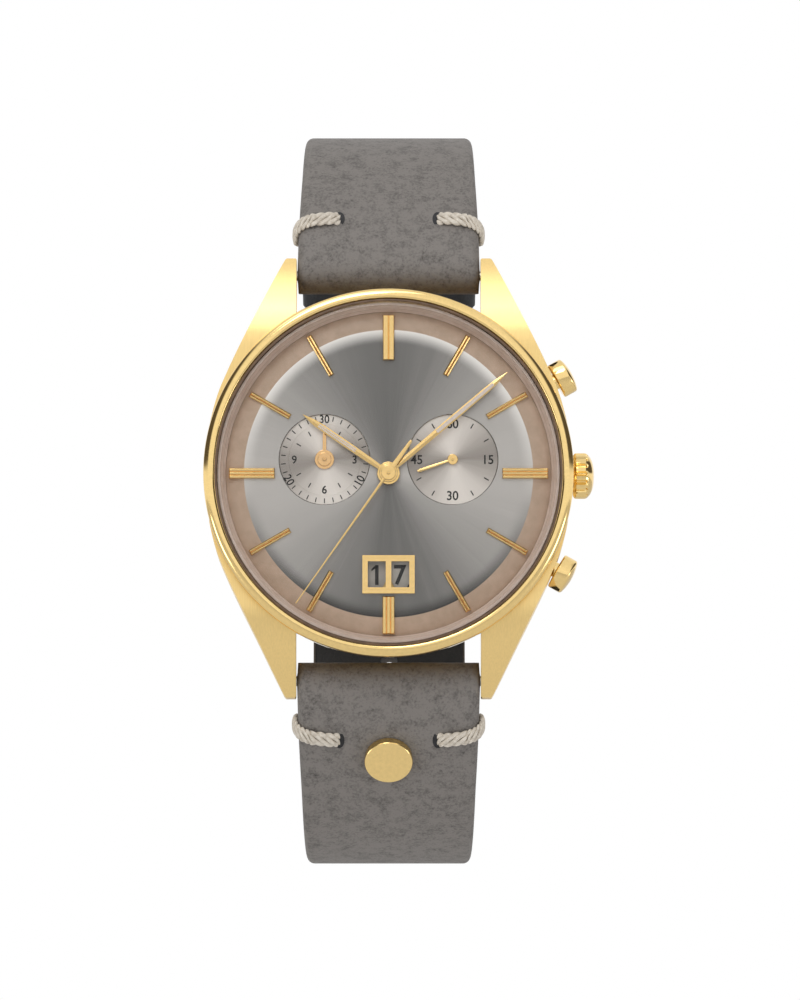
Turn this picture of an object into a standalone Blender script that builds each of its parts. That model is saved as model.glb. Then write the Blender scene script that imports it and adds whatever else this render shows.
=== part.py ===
"""A chronograph wristwatch on an unfastened leather strap, in metres.

Built dial up in millimetres: x to 3 o'clock, y to 12 o'clock, z out of the dial.
The root empty then stands it up, with 12 o'clock at +Z and the dial facing -Y.
The centre of the flat case back is the origin.
"""

import math

import bmesh
import bpy

MM = 0.001
TAU = 2 * math.pi

# Case
CASE_R = 20.7
CASE_BOTTOM_H = 1.3
CASE_TOP_H = 7.2
LUG_TIP_Y = 25.15
LUG_GAP_HALF = 10.5
BORE_R = 18.95
DIAL_SEAT_R = 19.45
DIAL_SEAT_H = 6.0
RING_SEGMENTS = 56
SMALL_SEGMENTS = 32

# Side controls
STEM_H = 4.5
PUSHER_ANGLE = math.radians(29.5)
CROWN_FLUTES = 16
CROWN_R = 2.6
CROWN_FLUTE_DEPTH = 0.22
TUBE_END_R = 21.25
PUSHER_TUBE_R = 1.2
CROWN_TUBE_R = 1.1

# Dial and hands
DIAL_TOP_H = 7.2
SUBDIAL_X = 7.27
SUBDIAL_Y = 1.6
SUBDIAL_R = 5.15
SUBDIAL_FLOOR_H = 7.0
DATE_Y = -11.5
DATE_DISC_X = 5.2
DATE_DISC_Y = -9.9
DATE_DISC_R = 5.4
MARKER_R0 = 12.9
MARKER_R1 = 18.1
HOUR_ANGLE = math.radians(304.5)
MINUTE_ANGLE = math.radians(49.6)
CHRONO_ANGLE = math.radians(215.2)
SMALL_SECONDS_ANGLE = math.radians(251.3)

# Strap, along its centreline from the spring bar
BAR_Y = 23.2
BAR_H = 2.3
START_SLOPE = math.radians(8)
FOLD_R = 2.1
LINING_START = 2.3
LINING_T = 0.8
STRAP_T = 2.6
EDGE_ROUND = 1.2
BAR_HOLE_R = 0.95
UPPER_ARCS = ((13.75, 25), (27.0, 57), (22.0, 90))
LOWER_ARCS = ((13.75, 25), (27.0, 57), (36.0, 90))
UPPER_STRAIGHT = 12.0
LOWER_STRAIGHT = 25.0
BUCKLE_END_R = 1.7
TIP_LENGTH = 9.0
HOLE_COUNT = 7
HOLE_PITCH = 6.2
HOLE_FROM_TIP = 18.0
HOLE_R = 1.0
THREAD_S = 6.2
THREAD_X = 5.9
STUD_S = 8.4
FIXED_KEEPER_FROM_END = 8.6
FREE_KEEPER_FROM_END = 21.0
GAP = 0.04


def clear_scene():
    for old in list(bpy.data.objects):
        bpy.data.objects.remove(old)


def material(name, colour, metallic, roughness):
    made = bpy.data.materials.new(name)
    made.use_nodes = True
    shader = made.node_tree.nodes["Principled BSDF"]
    shader.inputs["Base Color"].default_value = (*colour, 1)
    shader.inputs["Metallic"].default_value = metallic
    shader.inputs["Roughness"].default_value = roughness
    return made


def mesh_object(name, shape, at=(0, 0, 0), turn=(0, 0, 0)):
    """An object from (points in mm, faces), at a place in mm and turned, under the root."""
    points, faces = shape
    mesh = bpy.data.meshes.new(name)
    mesh.from_pydata([[value * MM for value in point] for point in points], [], faces)
    work = bmesh.new()
    work.from_mesh(mesh)
    bmesh.ops.recalc_face_normals(work, faces=work.faces)
    work.to_mesh(mesh)
    work.free()
    made = bpy.data.objects.new(name, mesh)
    bpy.context.collection.objects.link(made)
    made.parent = ROOT
    made.location = [value * MM for value in at]
    made.rotation_euler = turn
    return made


def piece(name, look, shape, at=(0, 0, 0), turn=(0, 0, 0)):
    made = mesh_object(name, shape, at, turn)
    made.data.materials.append(material(name + "_look", *look))
    made.data.shade_smooth()
    return made


def change(target, operation, label, shape, at=(0, 0, 0), turn=(0, 0, 0)):
    """Cuts, joins or trims the target with a hidden helper."""
    helper = mesh_object(f"{target.name}_{label}", shape, at, turn)
    helper.hide_render = True
    helper.display_type = "WIRE"
    modifier = target.modifiers.new(label, "BOOLEAN")
    modifier.object = helper
    modifier.operation = operation
    modifier.solver = "EXACT"


def loft(rings):
    """Closed rings of equal length, joined in order and capped at both ends."""
    count = len(rings[0])
    points = [point for ring in rings for point in ring]
    faces = [list(range(count)), list(range(len(points) - count, len(points)))]
    for row in range(len(rings) - 1):
        for i in range(count):
            j = (i + 1) % count
            low, high = row * count, (row + 1) * count
            faces.append([low + i, low + j, high + j, high + i])
    return points, faces


def prism(outline, low, high):
    return loft([[(x, y, z) for x, y in outline] for z in (low, high)])


def box(x0, x1, y0, y1, z0, z1):
    return prism([(x0, y0), (x1, y0), (x1, y1), (x0, y1)], z0, z1)


def side_prism(outline, x0, x1):
    """A (y, z) outline drawn out along x."""
    return loft([[(x, y, z) for y, z in outline] for x in (x0, x1)])


def together(shapes):
    points, faces = [], []
    for more_points, more_faces in shapes:
        start = len(points)
        points += more_points
        faces += [[start + i for i in face] for face in more_faces]
    return points, faces


def lathe(profile, segments=SMALL_SEGMENTS):
    """A closed (radius, z) loop turned about z. Points on the axis become one vertex."""
    points, index = [], []
    for r, z in profile:
        on_axis = r < 1e-6
        index.append((len(points), on_axis))
        for i in range(1 if on_axis else segments):
            angle = TAU * i / segments
            points.append((r * math.cos(angle), r * math.sin(angle), z))
    faces = []
    for (a, a_axis), (b, b_axis) in zip(index, index[1:] + index[:1]):
        if a_axis and b_axis:
            continue
        for i in range(segments):
            j = (i + 1) % segments
            if a_axis:
                faces.append([a, b + i, b + j])
            elif b_axis:
                faces.append([a + i, a + j, b])
            else:
                faces.append([a + i, a + j, b + j, b + i])
    return points, faces


def rod(r, z0, z1, segments=16):
    return lathe([(0, z0), (r, z0), (r, z1), (0, z1)], segments)


def ring(r0, r1, z0, z1, segments=SMALL_SEGMENTS):
    return lathe([(r0, z0), (r1, z0), (r1, z1), (r0, z1)], segments)


def star(count, points_each, radius_at):
    """An outline whose radius repeats count times around."""
    total = count * points_each
    outline = []
    for i in range(total):
        r = radius_at(i % points_each)
        outline.append((r * math.cos(TAU * i / total), r * math.sin(TAU * i / total)))
    return outline


def gear(r, teeth, z0, z1):
    tooth = 0.22
    return prism(star(teeth, 2, lambda i: r if i else r - tooth), z0, z1)


def radial(angle):
    """The turn that lays local z along a direction in the dial plane."""
    return (0, math.pi / 2, angle)


def at_angle(clockwise, r):
    return r * math.sin(clockwise), r * math.cos(clockwise)


# Finishes: colour, metallic, roughness
GOLD = ((0.83, 0.58, 0.22), 1.0, 0.18)
BRUSHED_GOLD = ((0.80, 0.56, 0.22), 1.0, 0.34)
ROSE_GOLD = ((0.72, 0.48, 0.26), 1.0, 0.24)
STEEL = ((0.56, 0.56, 0.55), 1.0, 0.28)
BRASS = ((0.66, 0.50, 0.24), 1.0, 0.36)
COPPER = ((0.62, 0.28, 0.13), 1.0, 0.35)
DIAL_GREY = ((0.25, 0.24, 0.235), 0.6, 0.38)
FLANGE = ((0.45, 0.36, 0.30), 0.3, 0.4)
DISC_GREY = ((0.52, 0.49, 0.46), 0.0, 0.6)
GLASS = ((0.93, 0.94, 0.95), 0.0, 0.05)
RUBBER = ((0.03, 0.03, 0.03), 0.0, 0.7)
PLASTIC = ((0.75, 0.74, 0.71), 0.0, 0.5)
BOARD = ((0.05, 0.16, 0.09), 0.0, 0.5)
LEATHER = ((0.21, 0.195, 0.18), 0.0, 0.62)
LINING = ((0.012, 0.012, 0.013), 0.0, 0.6)
THREAD = ((0.68, 0.62, 0.54), 0.0, 0.8)


def case_outline():
    """The case seen from above: a round middle that runs out into four lugs."""
    lug = [(20.3, 5.6), (19.45, 8.9), (18.35, 11.6), (16.95, 14.6), (14.85, 18.85)]
    lug += [(12.95, 22.7), (11.9, 24.8), (11.6, LUG_TIP_Y), (10.62, LUG_TIP_Y)]
    lug += [(LUG_GAP_HALF, 25.0)]
    inner_r = 20.2
    steps = 5
    meet = math.acos(LUG_GAP_HALF / inner_r)
    quarter = []
    for angle in (0, 5, 10):
        quarter.append((CASE_R * math.cos(math.radians(angle)), CASE_R * math.sin(math.radians(angle))))
    quarter += lug
    for i in range(steps + 1):
        angle = meet + (math.pi / 2 - meet) * i / steps
        quarter.append((inner_r * math.cos(angle), inner_r * math.sin(angle)))
    upper = quarter + [(-x, y) for x, y in reversed(quarter[:-1])]
    return upper + [(x, -y) for x, y in reversed(upper[1:-1])]


def lug_profile():
    """Side view of the case: flat under the bezel, lugs curving down to the wrist."""
    top = [(14.5, CASE_TOP_H), (17.0, 6.95), (19.4, 6.3), (21.6, 5.3), (23.6, 4.1)]
    top += [(LUG_TIP_Y + 0.05, 2.9), (LUG_TIP_Y + 0.05, 0.5), (24.6, 0.15), (23.0, 0.3)]
    top += [(19.6, CASE_BOTTOM_H)]
    return top + [(-y, z) for y, z in reversed(top)]


def build_case():
    case = piece("case_middle", BRUSHED_GOLD, prism(case_outline(), 0.0, CASE_TOP_H))
    change(case, "INTERSECT", "side", side_prism(lug_profile(), -22, 22))
    bore = [(0, -1), (BORE_R, -1), (BORE_R, DIAL_SEAT_H), (DIAL_SEAT_R, DIAL_SEAT_H)]
    bore += [(DIAL_SEAT_R, 8.5), (0, 8.5)]
    change(case, "DIFFERENCE", "bore", lathe(bore, RING_SEGMENTS))
    for side, label in ((1, "upper"), (-1, "lower")):
        hole = rod(0.6, -11.4, 11.4, 12)
        change(case, "DIFFERENCE", label + "_bar_hole", hole, (0, side * BAR_Y, BAR_H), radial(0))
    change(case, "DIFFERENCE", "crown_hole", rod(CROWN_TUBE_R + GAP, 17, 22), (0, 0, STEM_H), radial(0))
    for side, label in ((1, "start"), (-1, "reset")):
        hole = rod(PUSHER_TUBE_R + GAP, 17, 22)
        turn = radial(side * PUSHER_ANGLE)
        change(case, "DIFFERENCE", label + "_hole", hole, (0, 0, STEM_H), turn)
        pocket = rod(2.28, TUBE_END_R - 0.03, 26, 28)
        change(case, "DIFFERENCE", label + "_pocket", pocket, (0, 0, STEM_H), turn)

    profile = [(20.6, 7.23), (21.0, 7.6), (21.0, 8.6), (20.92, 8.95), (20.65, 9.2), (20.25, 9.3)]
    profile += [(19.92, 9.27), (19.78, 9.12), (19.78, 8.6), (DIAL_SEAT_R, 8.6), (DIAL_SEAT_R, 7.23)]
    piece("bezel", GOLD, lathe(profile, RING_SEGMENTS))

    dome = [(19.4, 8.63), (19.4, 9.3), (19.1, 9.5), (15.5, 9.97), (9.5, 10.38)]
    dome += [(0, 10.6), (0, 9.55), (9.5, 9.38), (16.5, 8.92), (18.6, 8.63)]
    piece("crystal", GLASS, lathe(dome, RING_SEGMENTS))
    piece("crystal_gasket", PLASTIC, ring(19.44, 19.74, 8.65, 9.1, RING_SEGMENTS))

    slope = [(18.5, 6.86), (19.38, 6.52), (19.38, 8.58), (18.72, 8.58)]
    piece("dial_flange", FLANGE, lathe(slope, RING_SEGMENTS))

    back = [(0, 0), (15.6, 0), (16.2, 0.3), (18.0, 0.45), (19.3, 0.85), (19.3, 1.26)]
    back += [(18.38, 1.26), (18.38, 1.62), (0, 1.62)]
    lid = piece("case_back", STEEL, lathe(back, RING_SEGMENTS))
    notches = []
    for i in range(6):
        middle = TAU * i / 6
        corners = []
        for r, offset in ((16.6, -0.055), (18.2, -0.05), (18.2, 0.05), (16.6, 0.055)):
            corners.append((r * math.cos(middle + offset), r * math.sin(middle + offset)))
        notches.append(prism(corners, -0.2, 0.75))
    change(lid, "DIFFERENCE", "key_slots", together(notches))
    piece("case_back_gasket", RUBBER, ring(18.42, 18.9, 1.3, 1.72, RING_SEGMENTS))

    holder = piece("movement_ring", PLASTIC, ring(15.1, 18.85, 1.76, 5.95, SMALL_SEGMENTS))
    change(holder, "DIFFERENCE", "stem_way", rod(CROWN_TUBE_R + 0.06, 14, 20), (0, 0, STEM_H), radial(0))
    for side, label in ((1, "start"), (-1, "reset")):
        way = rod(PUSHER_TUBE_R + 0.06, 14, 20)
        change(holder, "DIFFERENCE", label + "_way", way, (0, 0, STEM_H), radial(side * PUSHER_ANGLE))


def crown_rings():
    """Fluted wall with a shallow cone on the outer end, along local z from the case axis."""
    wall = [(20.95, 0.88, 0.6), (21.12, 1.0, 1.0), (22.4, 1.0, 1.0), (22.65, 0.93, 0.2)]
    wall += [(23.15, 0.66, 0.0), (23.36, 0.2, 0.0)]
    rings = []
    for z, size, fluting in wall:
        def radius(i, size=size, fluting=fluting):
            drop = (0.0, 0.0, 1.0, 1.0)[i]
            return CROWN_R * size - CROWN_FLUTE_DEPTH * drop * fluting
        rings.append([(x, y, z) for x, y in star(CROWN_FLUTES, 4, radius)])
    return rings


def coil_shape(mean_r, wire_r, z0, z1, turns):
    sides, per_turn = 5, 10
    rings = []
    for i in range(int(turns * per_turn) + 1):
        share = i / (turns * per_turn)
        angle = TAU * turns * share
        middle_z = z0 + wire_r + (z1 - z0 - 2 * wire_r) * share
        section = []
        for k in range(sides):
            around = TAU * k / sides
            r = mean_r + wire_r * math.cos(around)
            z = middle_z + wire_r * math.sin(around)
            section.append((r * math.cos(angle), r * math.sin(angle), z))
        rings.append(section)
    return loft(rings)


def build_controls():
    axis = (0, 0, STEM_H)
    crown = piece("crown", GOLD, loft(crown_rings()), axis, radial(0))
    hollow = [(0, 20.5), (1.25, 20.5), (1.25, 22.3), (0.54, 22.3), (0.54, 22.75), (0, 22.75)]
    change(crown, "DIFFERENCE", "hollow", lathe(hollow, 20), axis, radial(0))
    groove = [(0, 9.2), (0.5, 9.2), (0.5, 11.2), (0.28, 11.2), (0.28, 11.8), (0.5, 11.8)]
    groove += [(0.5, 22.7), (0, 22.7)]
    piece("winding_stem", STEEL, lathe(groove, 14), axis, radial(0))
    tube = ring(0.58, CROWN_TUBE_R, 17.8, 22.0, 20)
    piece("crown_tube", STEEL, tube, axis, radial(0))
    for side, label in ((1, "start"), (-1, "reset")):
        turn = radial(side * PUSHER_ANGLE)
        cap = [(0, 16.4), (0.4, 16.4), (0.4, 19.9), (0.86, 19.9), (0.86, 21.9), (1.86, 21.9)]
        cap += [(2.05, 22.08), (2.05, 23.4), (1.9, 23.62), (1.3, 23.8), (0, 23.9)]
        piece(label + "_pusher", GOLD, lathe(cap, 24), axis, turn)
        sleeve = [(0.45, 17.6), (PUSHER_TUBE_R, 17.6), (PUSHER_TUBE_R, TUBE_END_R)]
        sleeve += [(0.9, TUBE_END_R), (0.9, 18.0), (0.45, 18.0)]
        piece(label + "_pusher_tube", GOLD, lathe(sleeve, 20), axis, turn)
        spring = coil_shape(0.66, 0.1, 18.03, 19.87, 4)
        piece(label + "_pusher_spring", STEEL, spring, axis, turn)


def bar_section(half, low, high, ridges):
    """A faceted bar's end, with one roof for each ridge."""
    outline = [(-half, low), (half, low)]
    step = 2 * half / ridges
    x = half
    for i in range(ridges):
        outline += [(x, high - 0.1), (x - step / 2, high)]
        x -= step
    return outline + [(-half, high - 0.1)]


def marker_shape(half, low, high, r0, r1, ridges, clockwise):
    rings = []
    for r in (r0, r1):
        section = []
        for across, z in bar_section(half, low, high, ridges):
            x, y = at_angle(clockwise, r)
            section.append((x + across * math.cos(clockwise), y - across * math.sin(clockwise), z))
        rings.append(section)
    return loft(rings)


def disc_outline(x, y, r, count):
    return [(x + r * math.cos(TAU * i / count), y + r * math.sin(TAU * i / count)) for i in range(count)]


def build_dial():
    profile = [(0, 6.75), (16.8, 6.75), (17.6, 6.5), (18.5, 6.16), (19.0, 6.04), (19.38, 6.04)]
    profile += [(19.38, 6.42), (18.5, 6.75), (17.6, 7.02), (16.6, DIAL_TOP_H), (0, DIAL_TOP_H)]
    dial = piece("dial", DIAL_GREY, lathe(profile, RING_SEGMENTS))
    slim = []
    for hour in (1, 2, 4, 5, 7, 8, 10, 11):
        angle = TAU * hour / 12
        slim.append(marker_shape(0.35, 6.95, 7.52, MARKER_R0, MARKER_R1, 2, angle))
    change(dial, "UNION", "slim_markers", together(slim))
    recesses = []
    for x in (-SUBDIAL_X, SUBDIAL_X):
        recesses.append(prism(disc_outline(x, SUBDIAL_Y, SUBDIAL_R, 36), SUBDIAL_FLOOR_H, 7.4))
    change(dial, "DIFFERENCE", "recesses", together(recesses))
    holes = [prism(disc_outline(0, 0, 0.86, 20), 6, 8)]
    holes += [prism(disc_outline(-SUBDIAL_X, SUBDIAL_Y, 0.44, 14), 6, 7.3)]
    holes += [prism(disc_outline(SUBDIAL_X, SUBDIAL_Y, 0.26, 12), 6, 7.3)]
    holes += [box(-2.45, 2.45, DATE_Y - 1.6, DATE_Y + 1.6, 6, 8)]
    change(dial, "DIFFERENCE", "holes", together(holes))

    frame = piece("date_frame", GOLD, box(-2.965, 2.965, DATE_Y - 2.175, DATE_Y + 2.175, 7.24, 7.52))
    windows = []
    for side in (-1, 1):
        middle = side * 1.33
        windows.append(box(middle - 1, middle + 1, DATE_Y - 1.475, DATE_Y + 1.475, 7, 8))
    change(frame, "DIFFERENCE", "windows", together(windows))

    bars = (("12", 0.665, MARKER_R0, MARKER_R1, 2, 0), ("3", 0.6, MARKER_R0, MARKER_R1, 3, 3))
    bars += (("6", 0.7, 14.0, 18.3, 3, 6), ("9", 0.6, MARKER_R0, MARKER_R1, 3, 9))
    for label, half, r0, r1, ridges, hour in bars:
        shape = marker_shape(half, 7.24, 7.66, r0, r1, ridges, TAU * hour / 12)
        piece("marker_" + label, GOLD, shape)

    for side, label, low in ((-1, "date_tens_disc", 6.3), (1, "date_units_disc", 6.5)):
        shape = ring(0.5, DATE_DISC_R, low, low + 0.12, 28)
        piece(label, DISC_GREY, shape, (side * DATE_DISC_X, DATE_DISC_Y, 0))


def hand_outline(hub_r, blade, start):
    """A round hub run into a blade, given as (half width, y) from the hub to the tip."""
    left = [(-half, y) for half, y in reversed(blade) if half > 1e-6]
    sides = 16
    opening = math.asin(min(1, start / hub_r))
    arc = []
    for i in range(sides + 1):
        angle = math.pi / 2 + opening + (TAU - 2 * opening) * i / sides
        arc.append((hub_r * math.cos(angle), hub_r * math.sin(angle)))
    return blade + left + arc


def two_ended_outline(hub_r, blade, tail):
    """A hub with a blade above it and a counterweight tail below, each (half width, y)."""
    sides = 8
    right = []
    first, last = math.asin(blade[0][0] / hub_r), math.asin(tail[0][0] / hub_r)
    for i in range(sides + 1):
        angle = math.pi / 2 - first - (math.pi - first - last) * i / sides
        right.append((hub_r * math.cos(angle), hub_r * math.sin(angle)))
    left = [(-x, y) for x, y in reversed(right)]
    up = blade[1:]
    down = tail[1:]
    outline = [(-half, y) for half, y in up if half > 1e-6]
    outline += [(half, y) for half, y in reversed(up)]
    outline += right
    outline += [(half, -y) for half, y in down]
    outline += [(-half, -y) for half, y in reversed(down) if half > 1e-6]
    return outline + left


def build_hands():
    hour = [(0.3, 1.4), (0.36, 2.6), (0.4, 6.5), (0.36, 10.4), (0.0, 11.8)]
    shape = prism(hand_outline(1.3, hour, 0.3), 7.62, 7.78)
    hand = piece("hour_hand", GOLD, shape, (0, 0, 0), (0, 0, -HOUR_ANGLE))
    change(hand, "DIFFERENCE", "eye", rod(0.83, 7, 8.5, 20))
    minute = [(0.28, 1.2), (0.34, 2.6), (0.38, 9.5), (0.32, 15.9), (0.0, 17.7)]
    shape = prism(hand_outline(1.05, minute, 0.28), 7.9, 8.04)
    hand = piece("minute_hand", GOLD, shape, (0, 0, 0), (0, 0, -MINUTE_ANGLE))
    change(hand, "DIFFERENCE", "eye", rod(0.48, 7.5, 8.5, 16))
    blade = [(0.16, 0.8), (0.14, 2.0), (0.06, 18.2)]
    tail = [(0.3, 0.7), (0.3, 1.2), (0.2, 4.5)]
    shape = prism(two_ended_outline(0.85, blade, tail), 8.16, 8.3)
    hand = piece("chrono_seconds_hand", GOLD, shape, (0, 0, 0), (0, 0, -CHRONO_ANGLE))
    change(hand, "UNION", "boss", rod(0.5, 8.2, 8.46, 16))
    change(hand, "DIFFERENCE", "eye", rod(0.18, 7.5, 8.39, 12))
    right = (SUBDIAL_X, SUBDIAL_Y, 0)
    left = (-SUBDIAL_X, SUBDIAL_Y, 0)
    blade = [(0.1, 0.6), (0.1, 1.0), (0.07, 4.2)]
    tail = [(0.12, 0.6), (0.12, 1.0), (0.14, 1.3)]
    shape = prism(two_ended_outline(0.6, blade, tail), 7.28, 7.42)
    hand = piece("small_seconds_hand", GOLD, shape, right, (0, 0, -SMALL_SECONDS_ANGLE))
    change(hand, "DIFFERENCE", "eye", rod(0.23, 6.5, 7.36, 12), right)
    lower = [(0.21, 1.15), (0.17, 3.1)]
    hand = piece("hour_counter_hand", GOLD, prism(hand_outline(1.1, lower, 0.21), 7.14, 7.24), left)
    change(hand, "UNION", "pipe", rod(0.38, 4.95, 7.2, 14), left)
    change(hand, "DIFFERENCE", "eye", rod(0.2, 4.5, 8, 12), left)
    upper = [(0.2, 0.85), (0.15, 3.9)]
    hand = piece("minute_counter_hand", GOLD, prism(hand_outline(0.78, upper, 0.2), 7.32, 7.42), left)
    change(hand, "UNION", "arbor", rod(0.16, 4.6, 7.4, 12), left)


def wheel(name, look, parts, at, eye=None):
    made = piece(name, look, parts[0], at)
    for i, more in enumerate(parts[1:]):
        change(made, "UNION", f"step{i}", more, at)
    if eye:
        change(made, "DIFFERENCE", "eye", eye, at)
    return made


def arc_plate(r0, r1, start, end, steps, low, high):
    outer, inner = [], []
    for i in range(steps + 1):
        angle = math.radians(start + (end - start) * i / steps)
        outer.append((r1 * math.cos(angle), r1 * math.sin(angle)))
        inner.append((r0 * math.cos(angle), r0 * math.sin(angle)))
    return prism(outer + inner[::-1], low, high)


def build_movement():
    plate = piece("main_plate", BRASS, rod(14.9, 5.2, 6.15, SMALL_SEGMENTS))
    holes = [prism(disc_outline(0, 0, 0.55, 14), 5, 7)]
    holes += [prism(disc_outline(-SUBDIAL_X, SUBDIAL_Y, 0.46, 12), 5, 7)]
    holes += [prism(disc_outline(SUBDIAL_X, SUBDIAL_Y, 0.28, 12), 5, 7)]
    change(plate, "DIFFERENCE", "arbor_holes", together(holes))
    outline = [(-11.5, -0.5), (-2, -2.5), (4, -3), (9.8, -3.2), (11.8, 3.5), (11.2, 7.5)]
    outline += [(6, 9), (1, 9.5), (-4, 7.5), (-11.5, 5.5)]
    bridge = piece("train_bridge", STEEL, prism(outline, 2.0, 2.4))
    pillars = []
    for x, y in ((-10.6, 4.2), (1.0, 8.2), (10.4, 6.2)):
        pillars.append(prism(disc_outline(x, y, 0.7, 12), 2.2, 5.16))
    change(bridge, "UNION", "pillars", together(pillars))
    cell = [(0, 2.1), (3.9, 2.1), (4.0, 2.3), (4.75, 2.4), (4.75, 4.1), (4.65, 4.2), (0, 4.2)]
    piece("battery", STEEL, lathe(cell, 28), (-6.6, -7.0, 0))
    clip = [(-13.2, -3.4), (-12.6, -5.6), (-6.8, -8.6), (-5.2, -6.4), (-11.2, -3.0)]
    piece("battery_clip", STEEL, prism(clip, 4.3, 4.5))
    piece("circuit_board", BOARD, arc_plate(9.2, 14.3, 60, 150, 12, 2.6, 3.1))
    winding = [(0, -5.2), (0.5, -5.2), (0.5, -4.0), (1.25, -4.0), (1.25, 4.0), (0.5, 4.0)]
    winding += [(0.5, 5.2), (0, 5.2)]
    piece("drive_coil", COPPER, lathe(winding, 16), (4.6, -9.0, 3.6), radial(math.radians(35)))
    wheel("stepper_rotor", STEEL, [rod(1.0, 2.6, 3.3), gear(0.38, 6, 3.2, 3.78)], (8.6, -1.09, 0))
    right = (SUBDIAL_X, SUBDIAL_Y, 0)
    wheel("seconds_wheel", BRASS, [gear(2.6, 24, 3.55, 3.75), rod(0.2, 2.5, 7.32, 12)], right)
    third = [gear(3.25, 26, 4.0, 4.2), rod(0.22, 2.5, 5.1, 12)]
    wheel("third_wheel", BRASS, third, (3.9, 3.3, 0))
    hollow = rod(0.2, 4.0, 8.5, 12)
    wheel("center_wheel", BRASS, [gear(4.55, 32, 4.6, 4.8), rod(0.44, 4.5, 8.02, 16)], (0, 0, 0), hollow)
    wheel("chrono_wheel", BRASS, [gear(3.4, 26, 3.2, 3.4), rod(0.15, 2.5, 8.34, 12)], (0, 0, 0))
    hollow = rod(0.5, 6.0, 8.5, 16)
    wheel("hour_wheel", BRASS, [gear(2.6, 24, 6.25, 6.5), rod(0.8, 6.25, 7.76, 20)], (0, 0, 0), hollow)
    plan = [(9.9, -0.9), (12.4, -0.9), (12.6, 4.4), (11.2, 4.8), (9.9, 3.6)]
    lever = piece("setting_lever", STEEL, prism(plan, 3.3, 3.6))
    change(lever, "UNION", "fork", box(11.32, 11.68, -0.88, 0.88, 3.4, 5.0))
    change(lever, "DIFFERENCE", "slot", box(11, 12, -0.34, 0.34, 4.16, 6))


def centreline(arcs, s):
    """(outward distance from the bar, height over the bar, slope) at length s."""
    u, h, slope = 0.0, 0.0, START_SLOPE
    for radius, turn in arcs:
        length = radius * math.radians(turn)
        step = min(s, length) / radius
        u += radius * (math.sin(slope + step) - math.sin(slope))
        h += radius * (math.cos(slope + step) - math.cos(slope))
        slope += step
        s -= min(s, length)
        if s <= 0:
            break
    return u + s * math.cos(slope), h - s * math.sin(slope), slope


def strap_place(arcs, sign, s, x, lift):
    """A point on the strap from its length, side offset and lift off the centreline."""
    u, h, slope = centreline(arcs, max(s, 0))
    if s < 0:
        u += s * math.cos(slope)
        h -= s * math.sin(slope)
    return x, sign * (u + lift * math.sin(slope)), h + lift * math.cos(slope)


def full_length(arcs, straight):
    return sum(radius * math.radians(turn) for radius, turn in arcs) + straight


def half_width(s, total, pointed):
    taper = ((0, 10.4), (6, 10.25), (14, 9.95), (33, 9.5), (60, 9.1), (200, 9.1))
    for (s0, w0), (s1, w1) in zip(taper, taper[1:]):
        if s0 <= max(s, 0) <= s1:
            width = w0 + (w1 - w0) * (max(s, 0) - s0) / (s1 - s0)
            break
    if pointed and s > total - TIP_LENGTH:
        share = (s - total + TIP_LENGTH) / TIP_LENGTH
        width *= math.sqrt(max(0.04, 1 - share ** 2.4))
    return width


def thickness(s, total, buckled):
    t = 2 * FOLD_R + (STRAP_T - 2 * FOLD_R) * min(max(s, 0) / 13, 1)
    if buckled and s > total - 6:
        t = STRAP_T + (2 * BUCKLE_END_R - STRAP_T) * (s - total + 6) / 6
    return t


def strap_section(half, low, high, round_low):
    """Rounded outer corners. The inner corners are nearly square, or rounded at the fold."""
    top = min(EDGE_ROUND, (high - low) * 0.46)
    foot = top if round_low else 0.12
    section = [(-half, low + foot), (-half + foot, low), (half - foot, low), (half, low + foot)]
    for degrees in (0, 30, 60, 90):
        angle = math.radians(degrees)
        section.append((half - top + top * math.cos(angle), high - top + top * math.sin(angle)))
    for degrees in (90, 120, 150, 180):
        angle = math.radians(degrees)
        section.append((-half + top + top * math.cos(angle), high - top + top * math.sin(angle)))
    return section


def strap_stations(arcs, straight, start):
    total = full_length(arcs, straight)
    marks, s = [], 0.0
    for radius, turn in arcs:
        length = radius * math.radians(turn)
        steps = max(3, round(turn / 7.5))
        marks += [s + length * i / steps for i in range(steps)]
        s += length
    marks += [s + straight * i / 3 for i in range(4)]
    return [mark for mark in marks if mark > start + 0.4], total


def leather_shape(arcs, straight, sign, buckled):
    marks, total = strap_stations(arcs, straight, LINING_START)
    rings = []
    stations = [(-2.06, 0.5), (-1.8, 1.08), (-1.2, 1.72), (-0.5, 2.04), (0.0, FOLD_R)]
    for s, reach in stations:
        section = strap_section(half_width(s, total, False), -reach, reach, True)
        rings.append([strap_place(arcs, sign, s, x, lift) for x, lift in section])
    for s, inner in ((LINING_START - 0.12, 0.0), (LINING_START - 0.06, LINING_T + 0.04)):
        t = thickness(s, total, buckled)
        section = strap_section(half_width(s, total, False), -t / 2 + inner, t / 2, inner == 0)
        rings.append([strap_place(arcs, sign, s, x, lift) for x, lift in section])
    if not buckled:
        marks = tip_marks(marks, total)
    last_lined = total - 4.0
    if buckled:
        marks = [mark for mark in marks if mark < last_lined - 0.5] + [last_lined, last_lined + 0.06]
        marks.append(total - 2)
    for s in marks:
        t = thickness(s, total, buckled)
        lined = not buckled or s <= last_lined
        inner = LINING_T + 0.04 if lined else 0.0
        section = strap_section(half_width(s, total, not buckled), -t / 2 + inner, t / 2, not lined)
        rings.append([strap_place(arcs, sign, s, x, lift) for x, lift in section])
    if buckled:
        for s, reach in ((0.0, 1.0), (0.45, 0.96), (0.85, 0.86), (1.3, 0.64), (1.6, 0.34)):
            half = BUCKLE_END_R * reach
            section = strap_section(half_width(total, total, False), -half, half, True)
            rings.append([strap_place(arcs, sign, total + s, x, lift) for x, lift in section])
    return loft(rings)


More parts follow.
